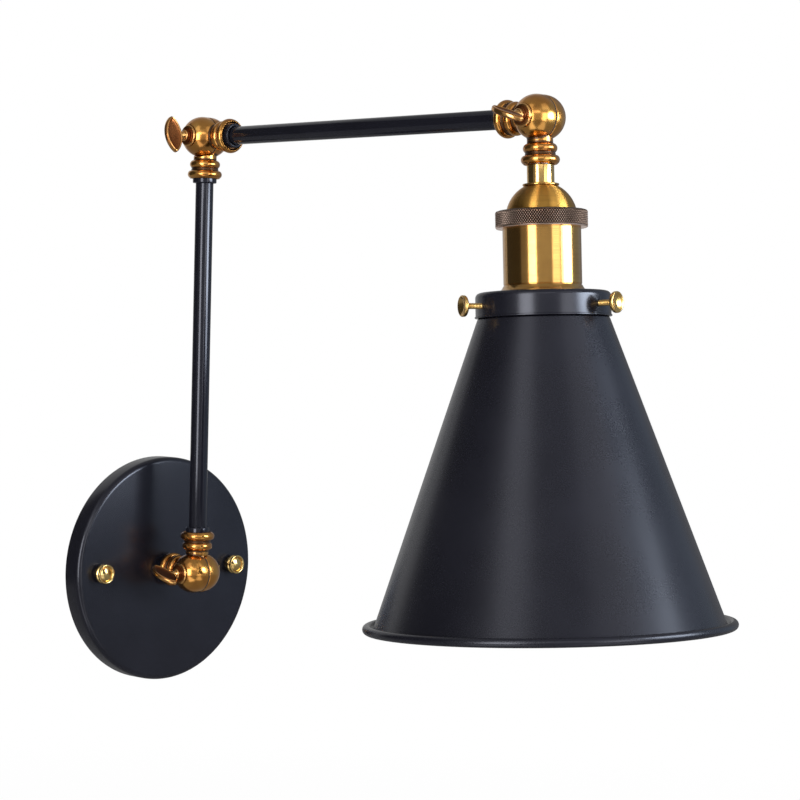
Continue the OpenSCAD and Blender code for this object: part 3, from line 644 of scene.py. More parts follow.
# %% Mix the dark bronze
def dark_bronze():
    """Dipped nearly black, and rubbed bright where it stands proud."""
    finish = new_finish("dark_bronze", Metallic=1)
    shader = shader_of(finish)
    clouds = noise(finish, scale=120, detail=3)
    proud = sums(finish, "ADD", attribute(finish, "proud"), scaled(finish, clouds, -0.12, 0.12))
    share = scaled(finish, proud, 0, 1, 0.34, 0.78)
    dip_black, rubbed = (0.040, 0.026, 0.020), (1.0, 0.74, 0.60)
    wire(finish, mixed(finish, share, dip_black, rubbed), shader.inputs["Base Color"])
    wire(finish, scaled(finish, share, 0.46, 0.24), shader.inputs["Roughness"])
    relief(finish, (noise(finish, scale=800, detail=2), 0.006))
    return finish


bronze = dark_bronze()
print("mixed", bronze.name)


# %% Mix the thumb screws' brass
def screw_brass():
    """Reddish brown brass of the thumb screws, worn to gold on the rims."""
    finish = new_finish("screw_brass", Metallic=1)
    shader = shader_of(finish)
    clouds = noise(finish, scale=160, detail=4)
    hollow = sums(finish, "ADD", attribute(finish, "hollow"), scaled(finish, clouds, -0.1, 0.1))
    worn = scaled(finish, hollow, 1, 0, 0.36, 0.58)
    brown, gold = (0.27, 0.090, 0.028), (0.82, 0.44, 0.15)
    wire(finish, mixed(finish, worn, brown, gold), shader.inputs["Base Color"])
    wire(finish, scaled(finish, worn, 0.34, 0.18), shader.inputs["Roughness"])
    relief(finish, (noise(finish, scale=300, detail=2), 0.006))
    return finish


thumb_brass = screw_brass()
print("finishes so far:", [finish.name for finish in bpy.data.materials])

# %% [markdown]
# ## The canopy
# The canopy is a shallow cup pressed from steel sheet. A flat cylinder with a bevel would look the same
# from the front, but it would be solid, and the space behind it is real. So the outline of the sheet
# itself is turned: out along the face, round the edge, down the side to the rim on the wall, and back
# inside at the sheet's thickness.

# %% Turn the canopy
sheet_t = 1.2
edge_r, rim_r = 3.0, 0.3
nipple_hole_r = 5.05
canopy_piece = spun(
    "canopy_cup",
    [(nipple_hole_r, canopy_face)]
    + arc((canopy_r - edge_r, canopy_face - edge_r), edge_r, 90, 0, 10)
    + arc((canopy_r - rim_r, rim_r), rim_r, 0, -90, 3)
    + arc((canopy_r - sheet_t + rim_r, rim_r), rim_r, -90, -180, 3)
    + arc((canopy_r - edge_r, canopy_face - edge_r), edge_r - sheet_t, 0, 90, 6)
    + [(nipple_hole_r, canopy_face - sheet_t), (nipple_hole_r, canopy_face)],
    192,
)
set_in_place(smooth(canopy_piece), on_canopy, "wall_base", "canopy", black)

# %% [markdown]
# ## Cap nuts
# Two brass cap nuts hold the canopy. Each has a narrower foot, a groove round its side, and a raised rim
# round a low dome. The groove and the rim are less than a millimetre deep, and a bump map could fake
# them, but they stand in full light and show as bright rings, so they are turned. One nut is modelled
# to one side of the middle, and its copy goes to the other side. Both become one piece, as in the CAD.

# %% Turn the cap nuts
nut_low, nut_high, _ = measured("cap_nuts", on_canopy)
nut_span = (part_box("cap_nuts")[1].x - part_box("cap_nuts")[0].x) / mm
nut_r = (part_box("cap_nuts")[1].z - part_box("cap_nuts")[0].z) / 2 / mm
nut_x = nut_span / 2 - nut_r
nut_foot, nut_foot_in = 1.9, 1.6
nut_groove_at, nut_groove = 1.2, 0.8
nut_top = nut_high - 0.3
nut_dome_r, nut_dome_top = 8.2, nut_high - 0.1
nut_edge = 0.35
print("cap nuts:", round(2 * nut_r, 2), "mm across, at", round(nut_x, 2), "mm from the middle")


def cap_nut(name):
    """One nut round Z. The softened outline closes itself, so its first point is kept only once."""
    foot_r = nut_r - nut_foot_in
    low = nut_low + nut_foot + nut_groove_at
    outline = softened(
        [
            (0, nut_low), (foot_r, nut_low), (foot_r, nut_low + nut_foot),
            (nut_r, nut_low + nut_foot), (nut_r, low), (nut_r - nut_groove, low + nut_groove),
            (nut_r, low + 2 * nut_groove), (nut_r, nut_top), (nut_r - 0.9, nut_top),
            (nut_r - 1.3, nut_top - 0.8),
        ],
        nut_edge,
    )
    outline += arc((0, nut_dome_top - nut_dome_r), nut_dome_r, 62, 90, 8)
    outline = [outline[0]] + [point for point in outline if point != outline[0]]
    return spun(name, outline + [(0, nut_dome_top)], 64)


right_nut = cap_nut("right_nut")
left_nut = copy_of(right_nut, "left_nut")
right_nut.data.transform(Matrix.Translation((nut_x, 0, 0)))
left_nut.data.transform(Matrix.Translation((-nut_x, 0, 0)))
nuts = smooth(joined("cap_nut_pair", right_nut, left_nut), 40)
set_in_place(nuts, on_canopy, "wall_base", "cap_nuts", bright_canopy)

# %% [markdown]
# ## Collars and tubes
# The black tubes carry the leads inside, and they end in small lock collars. A tube could be a cylinder
# with a Bevel modifier. The lathe does the same with the ring helper, whose outline already has soft
# corners, so the care goes into those. A real edge is never perfectly sharp, and its soft edge is what
# catches the light. A collar sinks a little way into the dished end of the knuckle's stem. The black
# ring between the canopy and the wall's knuckle is turned in the same way.

# %% Sizes of the tubes and collars
tube_r = measured("lower_tube", at_wall)[2]
tube_wall, tube_edge = 1.0, 0.25
collar_len, collar_sunk, collar_edge = 2.5, 2.0, 0.6
fit_gap = 0.05
tube_hole_r = tube_r + fit_gap
seat_edge = 0.7
print("tubes:", round(2 * tube_r, 2), "mm across, in holes", fit_gap, "mm wider all round")


# %% Turn the tubes and the collars
def tube(name, node, where, body):
    """One arm's tube."""
    low, high, radius = measured(node, where)
    piece = ring(name, radius - tube_wall, radius, low, high, tube_edge, 64)
    return set_in_place(smooth(piece), where, body, node, tube_black)


def collars(name, node, where, body):
    """The two collars of one tube."""
    low, high, radius = measured(node, where)
    pair = [
        ring(name + "_a", tube_hole_r, radius, low - collar_sunk, low + collar_len, collar_edge, 64),
        ring(name + "_b", tube_hole_r, radius, high - collar_len, high + collar_sunk, collar_edge, 64),
    ]
    return set_in_place(smooth(joined(name, *pair), 50), where, body, node, tube_black)


tube("lower_arm_tube", "lower_tube", at_wall, "lower_arm")
collars("lower_arm_collars", "lower_tube_collars", at_wall, "lower_arm")
tube("upper_arm_tube", "upper_tube", to_room, "upper_arm")
collars("upper_arm_collars", "upper_tube_collars", to_room, "upper_arm")

# %% Turn the ring between the canopy and its knuckle
seat_low, seat_high, seat_r = measured("wall_seat_ring", on_canopy)
seat = ring("canopy_seat_ring", tube_hole_r, seat_r, seat_low, seat_high, seat_edge, 64)
set_in_place(smooth(seat, 50), on_canopy, "wall_base", "wall_seat_ring", tube_black)

# %% [markdown]
# ## Knuckles
# A knuckle is a brass ball, split down the middle so that its halves turn on each other. Each half
# grows into a stem with two turned rings. The ball's axis and the stem's axis cross, so a single spin
# can't make a half. Sculpting could, but hardly to a tenth of a millimetre. So plain solids are turned,
# each about its own axis, and then welded and cut with booleans. Every knuckle has the same two halves,
# so each half is modelled once.

# %% Sizes of a knuckle
ball_r, ball_mid = 11.3, 2.4
seam_half, seam_chamfer = 0.3, 0.3
stem_len, neck_r, groove_r = 23.3, 6.45, 7.6
ring_a_r, ring_a_at = 8.5, 15.3
ring_b_r, ring_edge_r = 9.6, 2.4
ring_b_at = stem_len - ring_edge_r
knuckle_gap = 0.35
dish_r, dish_floor = 6.5, ball_mid + ball_r - 3
pin_r, pin_len, pin_play = 4.5, 6.5, 0.2
print("a knuckle:", round(2 * (ball_mid + ball_r), 1), "mm wide, with stems of", stem_len, "mm")


# %% Solids of a knuckle
def half_ball(name, radius, middle, start, side):
    """Half a ball, from the seam out along X, to side 1 or -1."""
    outline = [(0, start), (radius - seam_chamfer, start), (radius, start + seam_chamfer)]
    outline += arc((0, middle), radius, 0, 90, 20)
    return turned_over(spun(name, outline, 96), side * quarter, "Y")


def rod(name, radius, low, high, side=0):
    """A plain rod along Z, or along X to side 1 or -1."""
    piece = spun(name, [(0, low), (radius, low), (radius, high), (0, high)], 64)
    return turned_over(piece, side * quarter, "Y") if side else piece


def stem(name):
    """The stem with its neck, two round rings and a dished end where the collar sits."""
    outline = [(0, 0), (neck_r, 0), (neck_r, ring_a_at - 2.3)]
    outline += arc((ring_a_r - ring_edge_r, ring_a_at), ring_edge_r, -68, 62, 10)
    outline += [(groove_r, ring_a_at + 2.6), (groove_r, ring_b_at - 2.1)]
    outline += arc((ring_b_r - ring_edge_r, ring_b_at), ring_edge_r, -52, 74, 10)
    outline += [(ring_b_r - 1.35, stem_len), (ring_b_r - 1.7, stem_len - 0.5),
                (ring_b_r - 2.1, stem_len - collar_sunk), (0, stem_len - collar_sunk)]
    return spun(name, outline, 96)


# %% Weld and cut half a knuckle
def knuckle_half(name, side):
    """A stem with its ball on one side of the seam, and room for the other half's ball."""
    body = stem(name)
    room = half_ball("room", ball_r + knuckle_gap, ball_mid + knuckle_gap, -seam_half, -side)
    combined(body, room, "DIFFERENCE")
    combined(body, half_ball("shell", ball_r, ball_mid, seam_half + fit_gap, side), "UNION")
    combined(body, rod("tube_bore", tube_r + fit_gap, ring_a_at, stem_len + 1), "DIFFERENCE")
    return body


# %% [markdown]
# ### The skin of a casting
# Cast metal has no sharp inner corners, because the melt rounds them and polishing rounds them more. A
# Bevel modifier stumbles over the thin slivers that booleans leave. A voxel remesh doesn't mind them.
# It wraps the whole solid in small even faces, and a Smooth modifier then softens every corner alike.
# One half carries the pin. The other half has the hole for it, and outside a dish for the thumb screw.


# %% Cast the pin half and the hub half
cast_grain, cast_rounds = 0.24, 5


def cast(piece):
    """Small even faces, smoothed as a casting is."""
    apply_modifier(piece, "REMESH", mode="VOXEL", voxel_size=cast_grain, adaptivity=0)
    apply_modifier(piece, "SMOOTH", factor=0.5, iterations=cast_rounds)
    pick(piece)
    bpy.ops.object.shade_smooth()
    return mark_hollows(piece)


pin_half = knuckle_half("pin_half", 1)
combined(pin_half, rod("pin", pin_r, -pin_len, 2, 1), "UNION")
cast(pin_half)
hub_half = knuckle_half("hub_half", -1)
combined(hub_half, rod("pin_hole", pin_r + pin_play, -1, pin_len + 2 * pin_play, -1), "DIFFERENCE")
dish = spun(
    "dish",
    softened(
        [
            (0, dish_floor), (4.5, dish_floor), (4.9, dish_floor + 0.9), (5.4, dish_floor + 0.7),
            (6.0, dish_floor + 1.9), (dish_r, dish_floor + 2.1), (dish_r + 1, dish_floor + 8),
            (0, dish_floor + 8),
        ],
        0.15,
    ),
    64,
)
combined(hub_half, turned_over(dish, -quarter, "Y"), "DIFFERENCE")
cast(hub_half)
print("pin half:", len(pin_half.data.polygons), "faces; hub half:", len(hub_half.data.polygons))

# %% Put the six halves in place
halves = {
    "wall_knuckle_base": (pin_half, place(wall_point, -quarter), "wall_base"),
    "wall_knuckle_arm": (hub_half, at_wall, "lower_arm"),
    "elbow_knuckle_lower": (pin_half, place(elbow_point, half_turn), "lower_arm"),
    "elbow_knuckle_upper": (hub_half, to_room, "upper_arm"),
    "head_knuckle_arm": (pin_half, place(head_point, -quarter), "upper_arm"),
    "head_knuckle_socket": (hub_half, down_head, "lamp_head"),
}
for node, (model, where, body) in halves.items():
    set_in_place(copy_of(model, node + "_cast"), where, body, node, cast_brass)
for model in (pin_half, hub_half):
    bpy.data.objects.remove(model)

# %% [markdown]
# ## Thumb screws
# A thumb screw is a leaf-shaped blade on a shank. A circle that is scaled to an oval has no points, and
# no operator draws this leaf. So the blade starts as a flat disc, and each vertex of its circle is moved
# in code: its distance from the long axis is raised to a power, which draws the outline out to two blunt
# points. Both faces are then extruded and scaled in small steps, first outwards to a rounded rim, and
# then inwards to the dished middle.

# %% Shape the leaf
blade_len, blade_w, blade_edge_t = 20.6, 11.4, 1.2
blade_power = 1.45
blade_steps = [
    (0.15, 1.9), (0.45, 2.6), (0.85, 2.9), (1.2, 2.7), (1.5, 2.1), (1.9, 1.7), (2.8, 1.5), (3.9, 1.4)
]


def blade(name):
    """The blade round the origin: its length along Y, its width along X, and Z through it.

    Each of the blade's steps is a distance in from the outline and the thickness there.
    """
    clear_selection()
    bpy.ops.mesh.primitive_cylinder_add(vertices=128, radius=1, depth=blade_edge_t)
    piece = bpy.context.object
    piece.name = name
    for vertex in piece.data.vertices:
        side = vertex.co.x
        vertex.co.x = abs(side) ** blade_power * (1 if side > 0 else -1) * blade_w / 2
        vertex.co.y *= blade_len / 2
    pick(piece)
    bpy.ops.object.mode_set(mode="EDIT")
    bpy.ops.mesh.select_mode(type="FACE")
    bpy.ops.mesh.select_all(action="DESELECT")
    shape = bmesh.from_edit_mesh(piece.data)
    for face in shape.faces:
        face.select_set(abs(face.normal.z) > 0.9)
    inset, thickness = 0, blade_edge_t
    for next_inset, next_thickness in blade_steps:
        bpy.ops.mesh.extrude_region_move()
        bpy.ops.transform.resize(
            value=(
                (blade_w / 2 - next_inset) / (blade_w / 2 - inset),
                (blade_len / 2 - next_inset) / (blade_len / 2 - inset),
                next_thickness / thickness,
            )
        )
        inset, thickness = next_inset, next_thickness
    bpy.ops.object.mode_set(mode="OBJECT")
    return piece


# %% [markdown]
# ### From the leaf to the ball
# A short turned neck joins the leaf to the shank. Polishing wears the leaf's rim and leaves its middle
# brown, so the middle is marked for the material, by how thick the leaf is at each vertex. The shoulder
# sits in the ball's dish. It is turned with fine ridges, as real geometry, because they show against
# the light.


# %% Join the leaf to its neck
grip_r, blade_at = 2.3, 23.6
dished_from, dished_to = 0.65, 1.06
brown_middle, worn_rim = 1.0, 0.1
grip = blade("grip")
shank_neck = spun(
    "shank_neck",
    [(0, -8.6), (grip_r, -8.6), (grip_r, -6.9), (grip_r - 0.3, -5.8), (1.3, -4.7), (0.7, -4.2), (0, -4.1)],
    48,
)
combined(grip, turned_over(shank_neck, quarter, "Y"), "UNION")
in_dish = [
    abs(v.co.z) < dished_to and abs(v.co.z) > dished_from and v.co.x > -blade_w / 2
    for v in grip.data.vertices
]
write_attribute(grip, "hollow", [brown_middle if inside else worn_rim for inside in in_dish])
smooth(grip, 40)
grip.data.transform(Matrix.Translation((blade_at, 0, 0)))
print("the leaf has", len(grip.data.polygons), "faces,", sum(in_dish), "points of it in the dished middle")


# %% Turn the shoulder
def ridges(low, high, count, start_r, end_r, depth):
    """Points of a stack of turned ridges that narrows from one radius to another."""
    points = []
    pitch = (high - low) / count
    for k in range(count):
        radius = start_r + (end_r - start_r) * k / max(1, count - 1)
        base = low + k * pitch
        points += [(radius - depth, base), (radius, base + pitch * 0.3), (radius, base + pitch * 0.6)]
    return points + [(end_r - depth, high)]


shank_r = 2.45
shoulder = spun(
    "shoulder",
    [(0, -ball_mid - 5), (shank_r, -ball_mid - 5), (shank_r, dish_floor)]
    + [(4.1, dish_floor + 0.1), (4.1, dish_floor + 1.1), (5.5, dish_floor + 1.55)]
    + [(5.9, dish_floor + 1.9), (5.9, dish_floor + 2.4), (5.5, dish_floor + 2.8)]
    + ridges(dish_floor + 2.9, dish_floor + 5.6, 3, 4.9, 3.1, 0.6)
    + [(0, dish_floor + 5.8)],
    64,
)
mark_hollows(turned_over(smooth(shoulder, 60), quarter, "Y"), rounds=2, reach=0.25)
thumb_screw = joined("thumb_screw", grip, shoulder)
print("a thumb screw has", len(thumb_screw.data.polygons), "faces")

# %% Put the three thumb screws in place
turns = {"wall": (wall_point, 112), "elbow": (elbow_point, 166), "head": (head_point, 109)}
to_left = Matrix.Rotation(half_turn, 4, "Z")
blade_upright = Matrix.Rotation(quarter, 4, "X")
for end, (point, turn) in turns.items():
    where = place(point, radians(turn)) @ to_left @ blade_upright
    set_in_place(
        copy_of(thumb_screw, end + "_thumb_screw_oval"), where, end + "_screw",
        end + "_thumb_screw", thumb_brass,
    )
bpy.data.objects.remove(thumb_screw)

# %% [markdown]
# ## The lamp holder
# The holder hangs under the head's knuckle: a sleeve round the nipple, a washer, a dome, a knurled ring
# and a shell that ends in a flared lip. The real ones were all turned or spun, and so are these. The
# dome could be half a sphere, but its top is cut off flat where the washer lies, so its outline starts
# at the angle where the washer's edge meets it.

# %% Turn the sleeve and the washer
sleeve_low, sleeve_high, sleeve_r = measured("socket_sleeve", down_head)
sleeve = ring("holder_sleeve", tube_hole_r, sleeve_r, sleeve_low, sleeve_high, soft=0.35)
set_in_place(smooth(sleeve), down_head, "lamp_head", "socket_sleeve", bright_head)
washer_low, washer_high, washer_r = measured("socket_washer", down_head)
washer = ring("holder_washer", tube_hole_r, washer_r, washer_low, washer_high, soft=0.4)
set_in_place(smooth(washer, 50), down_head, "lamp_head", "socket_washer", brushed)

# %% Turn the dome
cap_low, cap_high, cap_r = measured("socket_cap", down_head)
cap_wall = 1.0
dome_flat_r = washer_r - 1
dome_mid = cap_low + sqrt(cap_r**2 - dome_flat_r**2)
dome_start = -asin((dome_mid - cap_low) / cap_r) / radians(1)
dome = spun(
    "holder_dome",
    [(tube_hole_r, cap_low)]
    + arc((0, dome_mid), cap_r, dome_start, 0, 24)
    + [(cap_r, cap_high), (cap_r - cap_wall, cap_high)]
    + arc((0, dome_mid), cap_r - cap_wall, 0, dome_start + 3, 16)
    + [(tube_hole_r, cap_low + cap_wall), (tube_hole_r, cap_low)],
    128,
)
set_in_place(smooth(dome), down_head, "lamp_head", "socket_cap", brushed_dome)

# %% [markdown]
# ### The knurl
# A knurling wheel presses rows of small diamonds into the holder's ring. A bump map could draw them, but
# they cut the ring's outline and each tip catches the light, so they are real geometry. The band is
# turned as a grid of small squares. Poking a square adds a point at its middle and four diagonal edges.
# When the grid's own edges are then dissolved, only the diagonals stay, and they outline diamonds. A
# second poke lifts the middle of each diamond to its tip.

# %% Turn the ring with a plain band
knurl_low, knurl_high, knurl_r = measured("knurled_ring", down_head)
shell_low, shell_high, _ = measured("socket_shell", down_head)
shell_r = 19.25
diamonds_round, diamond_rows, diamond_h = 112, 4, 0.5
band_r = knurl_r - diamond_h
band_low, band_high = knurl_low + 0.7, knurl_high - 0.75
row_h = band_high - band_low
band = [(band_r, band_low + row_h * k / diamond_rows) for k in range(diamond_rows + 1)]
knurled = spun(
    "holder_knurled_ring",
    [(cap_r + fit_gap, knurl_low), (knurl_r - 1.2, knurl_low), (knurl_r - 0.45, knurl_low + 0.25),
     (knurl_r - 0.15, knurl_low + 0.6)]
    + band
    + [(knurl_r - 0.2, knurl_high - 0.65), (knurl_r - 0.1, knurl_high - 0.4),
       (knurl_r - 0.45, knurl_high), (shell_r + fit_gap, knurl_high), (shell_r + fit_gap, shell_low),
       (cap_r + fit_gap, shell_low), (cap_r + fit_gap, knurl_low)],
    diamonds_round,
)
print("the band gets", diamond_rows, "rows of", diamonds_round, "squares")


# %% Knurl the band
def select_band():
    """Selects the faces of the ring's band, and gives the mesh that is being edited."""
    bpy.ops.mesh.select_mode(type="FACE")
    bpy.ops.mesh.select_all(action="DESELECT")
    shape = bmesh.from_edit_mesh(knurled.data)
    for face in shape.faces:
        middle = face.calc_center_median()
        outside = hypot(middle.x, middle.y) > band_r - 0.1
        face.select_set(bool(outside and band_low < middle.z < band_high))
    return shape


pick(knurled)
bpy.ops.object.mode_set(mode="EDIT")
shape = select_band()
for edge in shape.edges:
    edge.seam = all(face.select for face in edge.link_faces)
bmesh.update_edit_mesh(knurled.data)
bpy.ops.mesh.poke()
bpy.ops.mesh.select_mode(type="EDGE")
bpy.ops.mesh.select_all(action="DESELECT")
shape = bmesh.from_edit_mesh(knurled.data)
for edge in shape.edges:
    edge.select_set(edge.seam)
bpy.ops.mesh.dissolve_edges(use_verts=False)
select_band()
bpy.ops.mesh.poke(offset=diamond_h)
bpy.ops.object.mode_set(mode="OBJECT")

# %% Mark what the rubbing brightens, and set the ring in place
low_edge_h, low_edge_proud = 0.66, 0.9
far = np.array([hypot(v.co.x, v.co.y) for v in knurled.data.vertices])
low_edge = np.array([v.co.z > knurl_high - low_edge_h for v in knurled.data.vertices])
tips = ((far - band_r) / diamond_h).clip(0, 1)
write_attribute(knurled, "proud", tips + low_edge * low_edge_proud)
set_in_place(smooth(knurled, 20), down_head, "lamp_head", "knurled_ring", bronze)

# %% [markdown]
# ### The shell
# The shell is a smooth brass tube. Just above the shade's carrier a crease was rolled into it, and below
# the crease it flares to a lip. The crease is a third of a millimetre deep and still draws a dark line
# with a bright one below it. A bump map would draw it too, but not where the shell's outline shows it,
# so it is part of the turned outline.

# %% Turn the shell with its flared lip
gallery_low, gallery_high, gallery_out = measured("shade_gallery", down_head)
lip_r, bore_r, thread_r = 21.2, 17.4, 18.2
lip_low, lip_edge = gallery_low - 3.4, 0.45
shell = spun(
    "holder_shell",
    [(bore_r, shell_low), (shell_r, shell_low), (shell_r, lip_low - 0.35), (shell_r - 0.3, lip_low - 0.1),
     (shell_r - 0.3, lip_low + 0.1), (shell_r + 0.1, lip_low + 0.3), (shell_r + 0.75, lip_low + 1.5),
     (lip_r - lip_edge, gallery_low - 1.0)]
    + arc((lip_r - lip_edge, gallery_low - lip_edge), lip_edge, -45, 90, 5)
    + [(thread_r, gallery_low), (thread_r, shell_high), (bore_r, shell_high), (bore_r, shell_low)],
    128,
)
set_in_place(smooth(shell), down_head, "lamp_head", "socket_shell", brushed)

# %% [markdown]
# ## The shade's carrier
# The carrier is a pressed cup, upside down, with a rounded top edge and a thin lip at its mouth. The
# three screws that hold the shade go through its side. Its outline is turned, as the canopy's was, so
# both sides of the sheet are there, and no light leaks through the cup.

# %% Turn the carrier
carrier_r = gallery_out - 0.4
carrier_t = 1.2
carrier_edge = 2.5
carrier = spun(
    "shade_carrier",
    [(thread_r + fit_gap, gallery_low)]
    + arc((carrier_r - carrier_edge, gallery_low + carrier_edge), carrier_edge, -90, 0, 8)
    + [(carrier_r, gallery_high - 1.0), (gallery_out, gallery_high - 0.75), (gallery_out, gallery_high - 0.2),
       (gallery_out - 0.25, gallery_high), (carrier_r - carrier_t, gallery_high)]
    + arc((carrier_r - carrier_edge, gallery_low + carrier_edge), carrier_edge - carrier_t, 0, -90, 6)
    + [(thread_r + fit_gap, gallery_low + carrier_t), (thread_r + fit_gap, gallery_low)],
    160,
)
set_in_place(smooth(carrier), down_head, "lamp_head", "shade_gallery", black)

# %% [markdown]
# ## The shade
# The shade hangs just below the carrier: a straight cone of thin sheet that ends in a ledge, with its
# rim rolled round a wire. A cone with a Solidify modifier would be quick, but it has neither ledge nor
# rolled rim. Those two catch the light along the whole mouth, so they are drawn in the outline. The
# cone gets 256 steps, because a large smooth curve shows its corners first at its rim.

# %% Sizes of the shade
shade_low, shade_high, shade_r = measured("shade", down_head)
shade_t, bead_r = 0.8, 2.2
bead_mid = (shade_r - bead_r - fit_gap, shade_high - bead_r)
cone_r = bead_mid[0] - 3.4
cone_top, cone_top_r = gallery_high + 0.35, carrier_r - 0.8
neck_r_out = carrier_r - carrier_t - 1.2
cone_end = bead_mid[1]
print("cone:", round(2 * cone_top_r, 1), "mm across at the top,", round(2 * cone_r, 1), "mm at the ledge")

# %% Turn the shade
shade = spun(
    "cone_shade",
    [(neck_r_out, shade_low + 0.2), (neck_r_out, cone_top - 0.4), (neck_r_out + 0.4, cone_top),
     (cone_top_r - 0.5, cone_top), (cone_top_r, cone_top + 0.35), (cone_r, cone_end - 0.6),
     (cone_r + 0.4, cone_end - 0.15)]
    + arc(bead_mid, bead_r, 205, 520, 40)
    + [(cone_r + 0.2, cone_end + shade_t), (cone_r - shade_t, cone_end + shade_t - 0.6),
       (cone_top_r - shade_t, cone_top + shade_t), (neck_r_out - shade_t, cone_top + shade_t),
       (neck_r_out - shade_t, shade_low), (neck_r_out - 0.2, shade_low), (neck_r_out, shade_low + 0.2)],
    256,
)

# %% Mark the inside of the shade
slope = (cone_r - cone_top_r) / (cone_end - cone_top)
write_attribute(
    shade,
    "inside",
    [
        v.co.z > cone_top + shade_t / 2
        and hypot(v.co.x, v.co.y) < cone_top_r + slope * (v.co.z - cone_top) - shade_t / 2
        for v in shade.data.vertices
    ],
)
set_in_place(smooth(shade), down_head, "lamp_head", "shade", shade_black)

# %% [markdown]
# ## Shade screws
# Three brass screws point outwards from the carrier, each a threaded shaft with a dished round head. A
# real thread is a helix, which a Screw modifier can draw. At this size nobody can tell it from a stack
# of rings, and rings come with the same turned outline as the head. One screw is modelled, and each
# copy is turned to the direction of its own joint, so it stays true when the joint turns.


# %% Turn one shade screw
screw_point = down_head.inverted() @ Vector(joints["front_screw_turn"]["pos_m"])
screw_level = screw_point.z / mm
head_r, head_t, head_dish = 5.25, 2.2, 1.25
shaft_r, thread_pitch, thread_depth = 1.5, 0.8, 0.25
head_at = carrier_r + 8.1


def shade_screw(name):
    """A screw along Z, from its tip at the shade's neck to its head."""
    outline = [(0, neck_r_out + fit_gap), (shaft_r - 0.3, neck_r_out + fit_gap)]
    threads = int((head_at - neck_r_out) / thread_pitch)
    for k in range(threads):
        base = neck_r_out + 0.3 + k * thread_pitch
        outline += [(shaft_r - thread_depth, base), (shaft_r, base + 0.3), (shaft_r, base + 0.5)]
    outline += [(shaft_r, head_at - 0.2), (shaft_r + 0.7, head_at), (head_r - 1.1, head_at + 0.1)]
    outline += arc((head_r - 0.8, head_at + 0.9), 0.8, -70, 0, 4)
    outline += arc((head_r - 0.5, head_at + head_t - 0.5), 0.5, 0, 120, 5)
    outline += [
        ((head_r - 0.9) * (1 - t), head_at + head_t - 0.25 - head_dish * sin(t * quarter) ** 0.9)
        for t in [k / 8 for k in range(1, 9)]
    ]
    return spun(name, outline, 48)


screw_model = smooth(shade_screw("shade_screw_model"), 40)
print("a shade screw has", len(screw_model.data.polygons), "faces")


# %% Copy it round the head
def round_head(turn):
    """A turn about the head's axis, with Z then pointing out from it."""
    return Matrix.Rotation(turn, 4, "Z") @ Matrix.Rotation(quarter, 4, "Y")


on_level = down_head @ Matrix.Translation((0, 0, screw_level * mm))
for side in ("front", "left", "right"):
    out = down_head.to_3x3().inverted() @ Vector(joints[side + "_screw_turn"]["axis"])
    where = on_level @ round_head(atan2(out.y, out.x))
    set_in_place(
        copy_of(screw_model, "shade_screw_" + side + "_turned"), where, side + "_screw",
        "shade_screw_" + side, bright_head,
    )
bpy.data.objects.remove(screw_model)

# %% [markdown]
# ## Parts that keep their CAD shape
# What hides inside or behind is right as it is: the crossbar and its studs, the leads, the washers in
# the knuckles, the porcelain and the bulb. All of it could be modelled again, but the picture wouldn't
# change. It only gets a finish that fits the real material. One function with two tones, a roughness
# and a relief serves for all of these.


# %% Plain finishes for the inner parts
def plain_finish(name, dark, light, rough, scale, height, metallic=0.0, **sockets):
    """Two tones clouded by noise, with matching roughness and relief."""
    finish = new_finish(name, Metallic=metallic, **sockets)
    shader = shader_of(finish)
    clouds = noise(finish, scale, detail=4)
    grain = noise(finish, scale * 7, detail=2)
    wire(finish, ramp(finish, clouds, (0.3, dark), (0.7, light)), shader.inputs["Base Color"])
    wire(finish, scaled(finish, grain, rough - 0.07, rough + 0.07), shader.inputs["Roughness"])
    relief(finish, (grain, height))
    return finish


tones = {
    "zinc_steel": ((0.42, 0.43, 0.44), (0.62, 0.63, 0.64), 0.34, 180, 0.01, 1.0),
    "green_screw": ((0.03, 0.16, 0.06), (0.06, 0.26, 0.10), 0.4, 300, 0.01, 0.6),
    "copper_wire": ((0.60, 0.24, 0.12), (0.80, 0.38, 0.22), 0.28, 400, 0.01, 1.0),
    "nylon": ((0.62, 0.60, 0.52), (0.74, 0.72, 0.65), 0.5, 200, 0.01),
    "lead_insulation": ((0.012, 0.012, 0.013), (0.03, 0.03, 0.032), 0.48, 500, 0.01),
    "fibre": ((0.02, 0.014, 0.010), (0.05, 0.036, 0.026), 0.8, 900, 0.03),
    "porcelain": ((0.74, 0.73, 0.69), (0.84, 0.83, 0.80), 0.18, 90, 0.01),
    "bulb_metal": ((0.55, 0.55, 0.54), (0.72, 0.72, 0.70), 0.26, 150, 0.008, 1.0),
}
inner = {slot: plain_finish(slot, *tone) for slot, tone in tones.items()}
inner["bulb_glass"] = plain_finish(
    "bulb_glass", (0.80, 0.80, 0.78), (0.86, 0.86, 0.84), 0.32, 60, 0.004, Transmission_Weight=0.35
)
print("mixed", len(inner), "plain finishes")

# %% Dress the CAD parts
dressed = {
    "zinc_steel": [
        "mounting_crossbar", "crossbar_studs", "stud_locknuts", "wall_nipple", "nipple_washer",
        "nipple_locknut", "socket_nipple", "terminal_screws",
    ],
    "green_screw": ["earth_screw"],
    "copper_wire": ["earth_lead"],
    "nylon": ["nipple_bushing", "lower_bushings", "upper_bushings"],
    "lead_insulation": ["supply_leads", "lower_leads", "upper_leads", "socket_leads"],
    "fibre": ["wall_friction_washer", "elbow_friction_washer", "head_friction_washer"],
    "porcelain": ["socket_insulator"],
    "bulb_metal": ["bulb_base"],
    "bulb_glass": ["bulb_glass"],
}


def dress(node, finish):
    """Gives a CAD part its finish."""
    nodes[node].data.materials.clear()
    nodes[node].data.materials.append(finish)


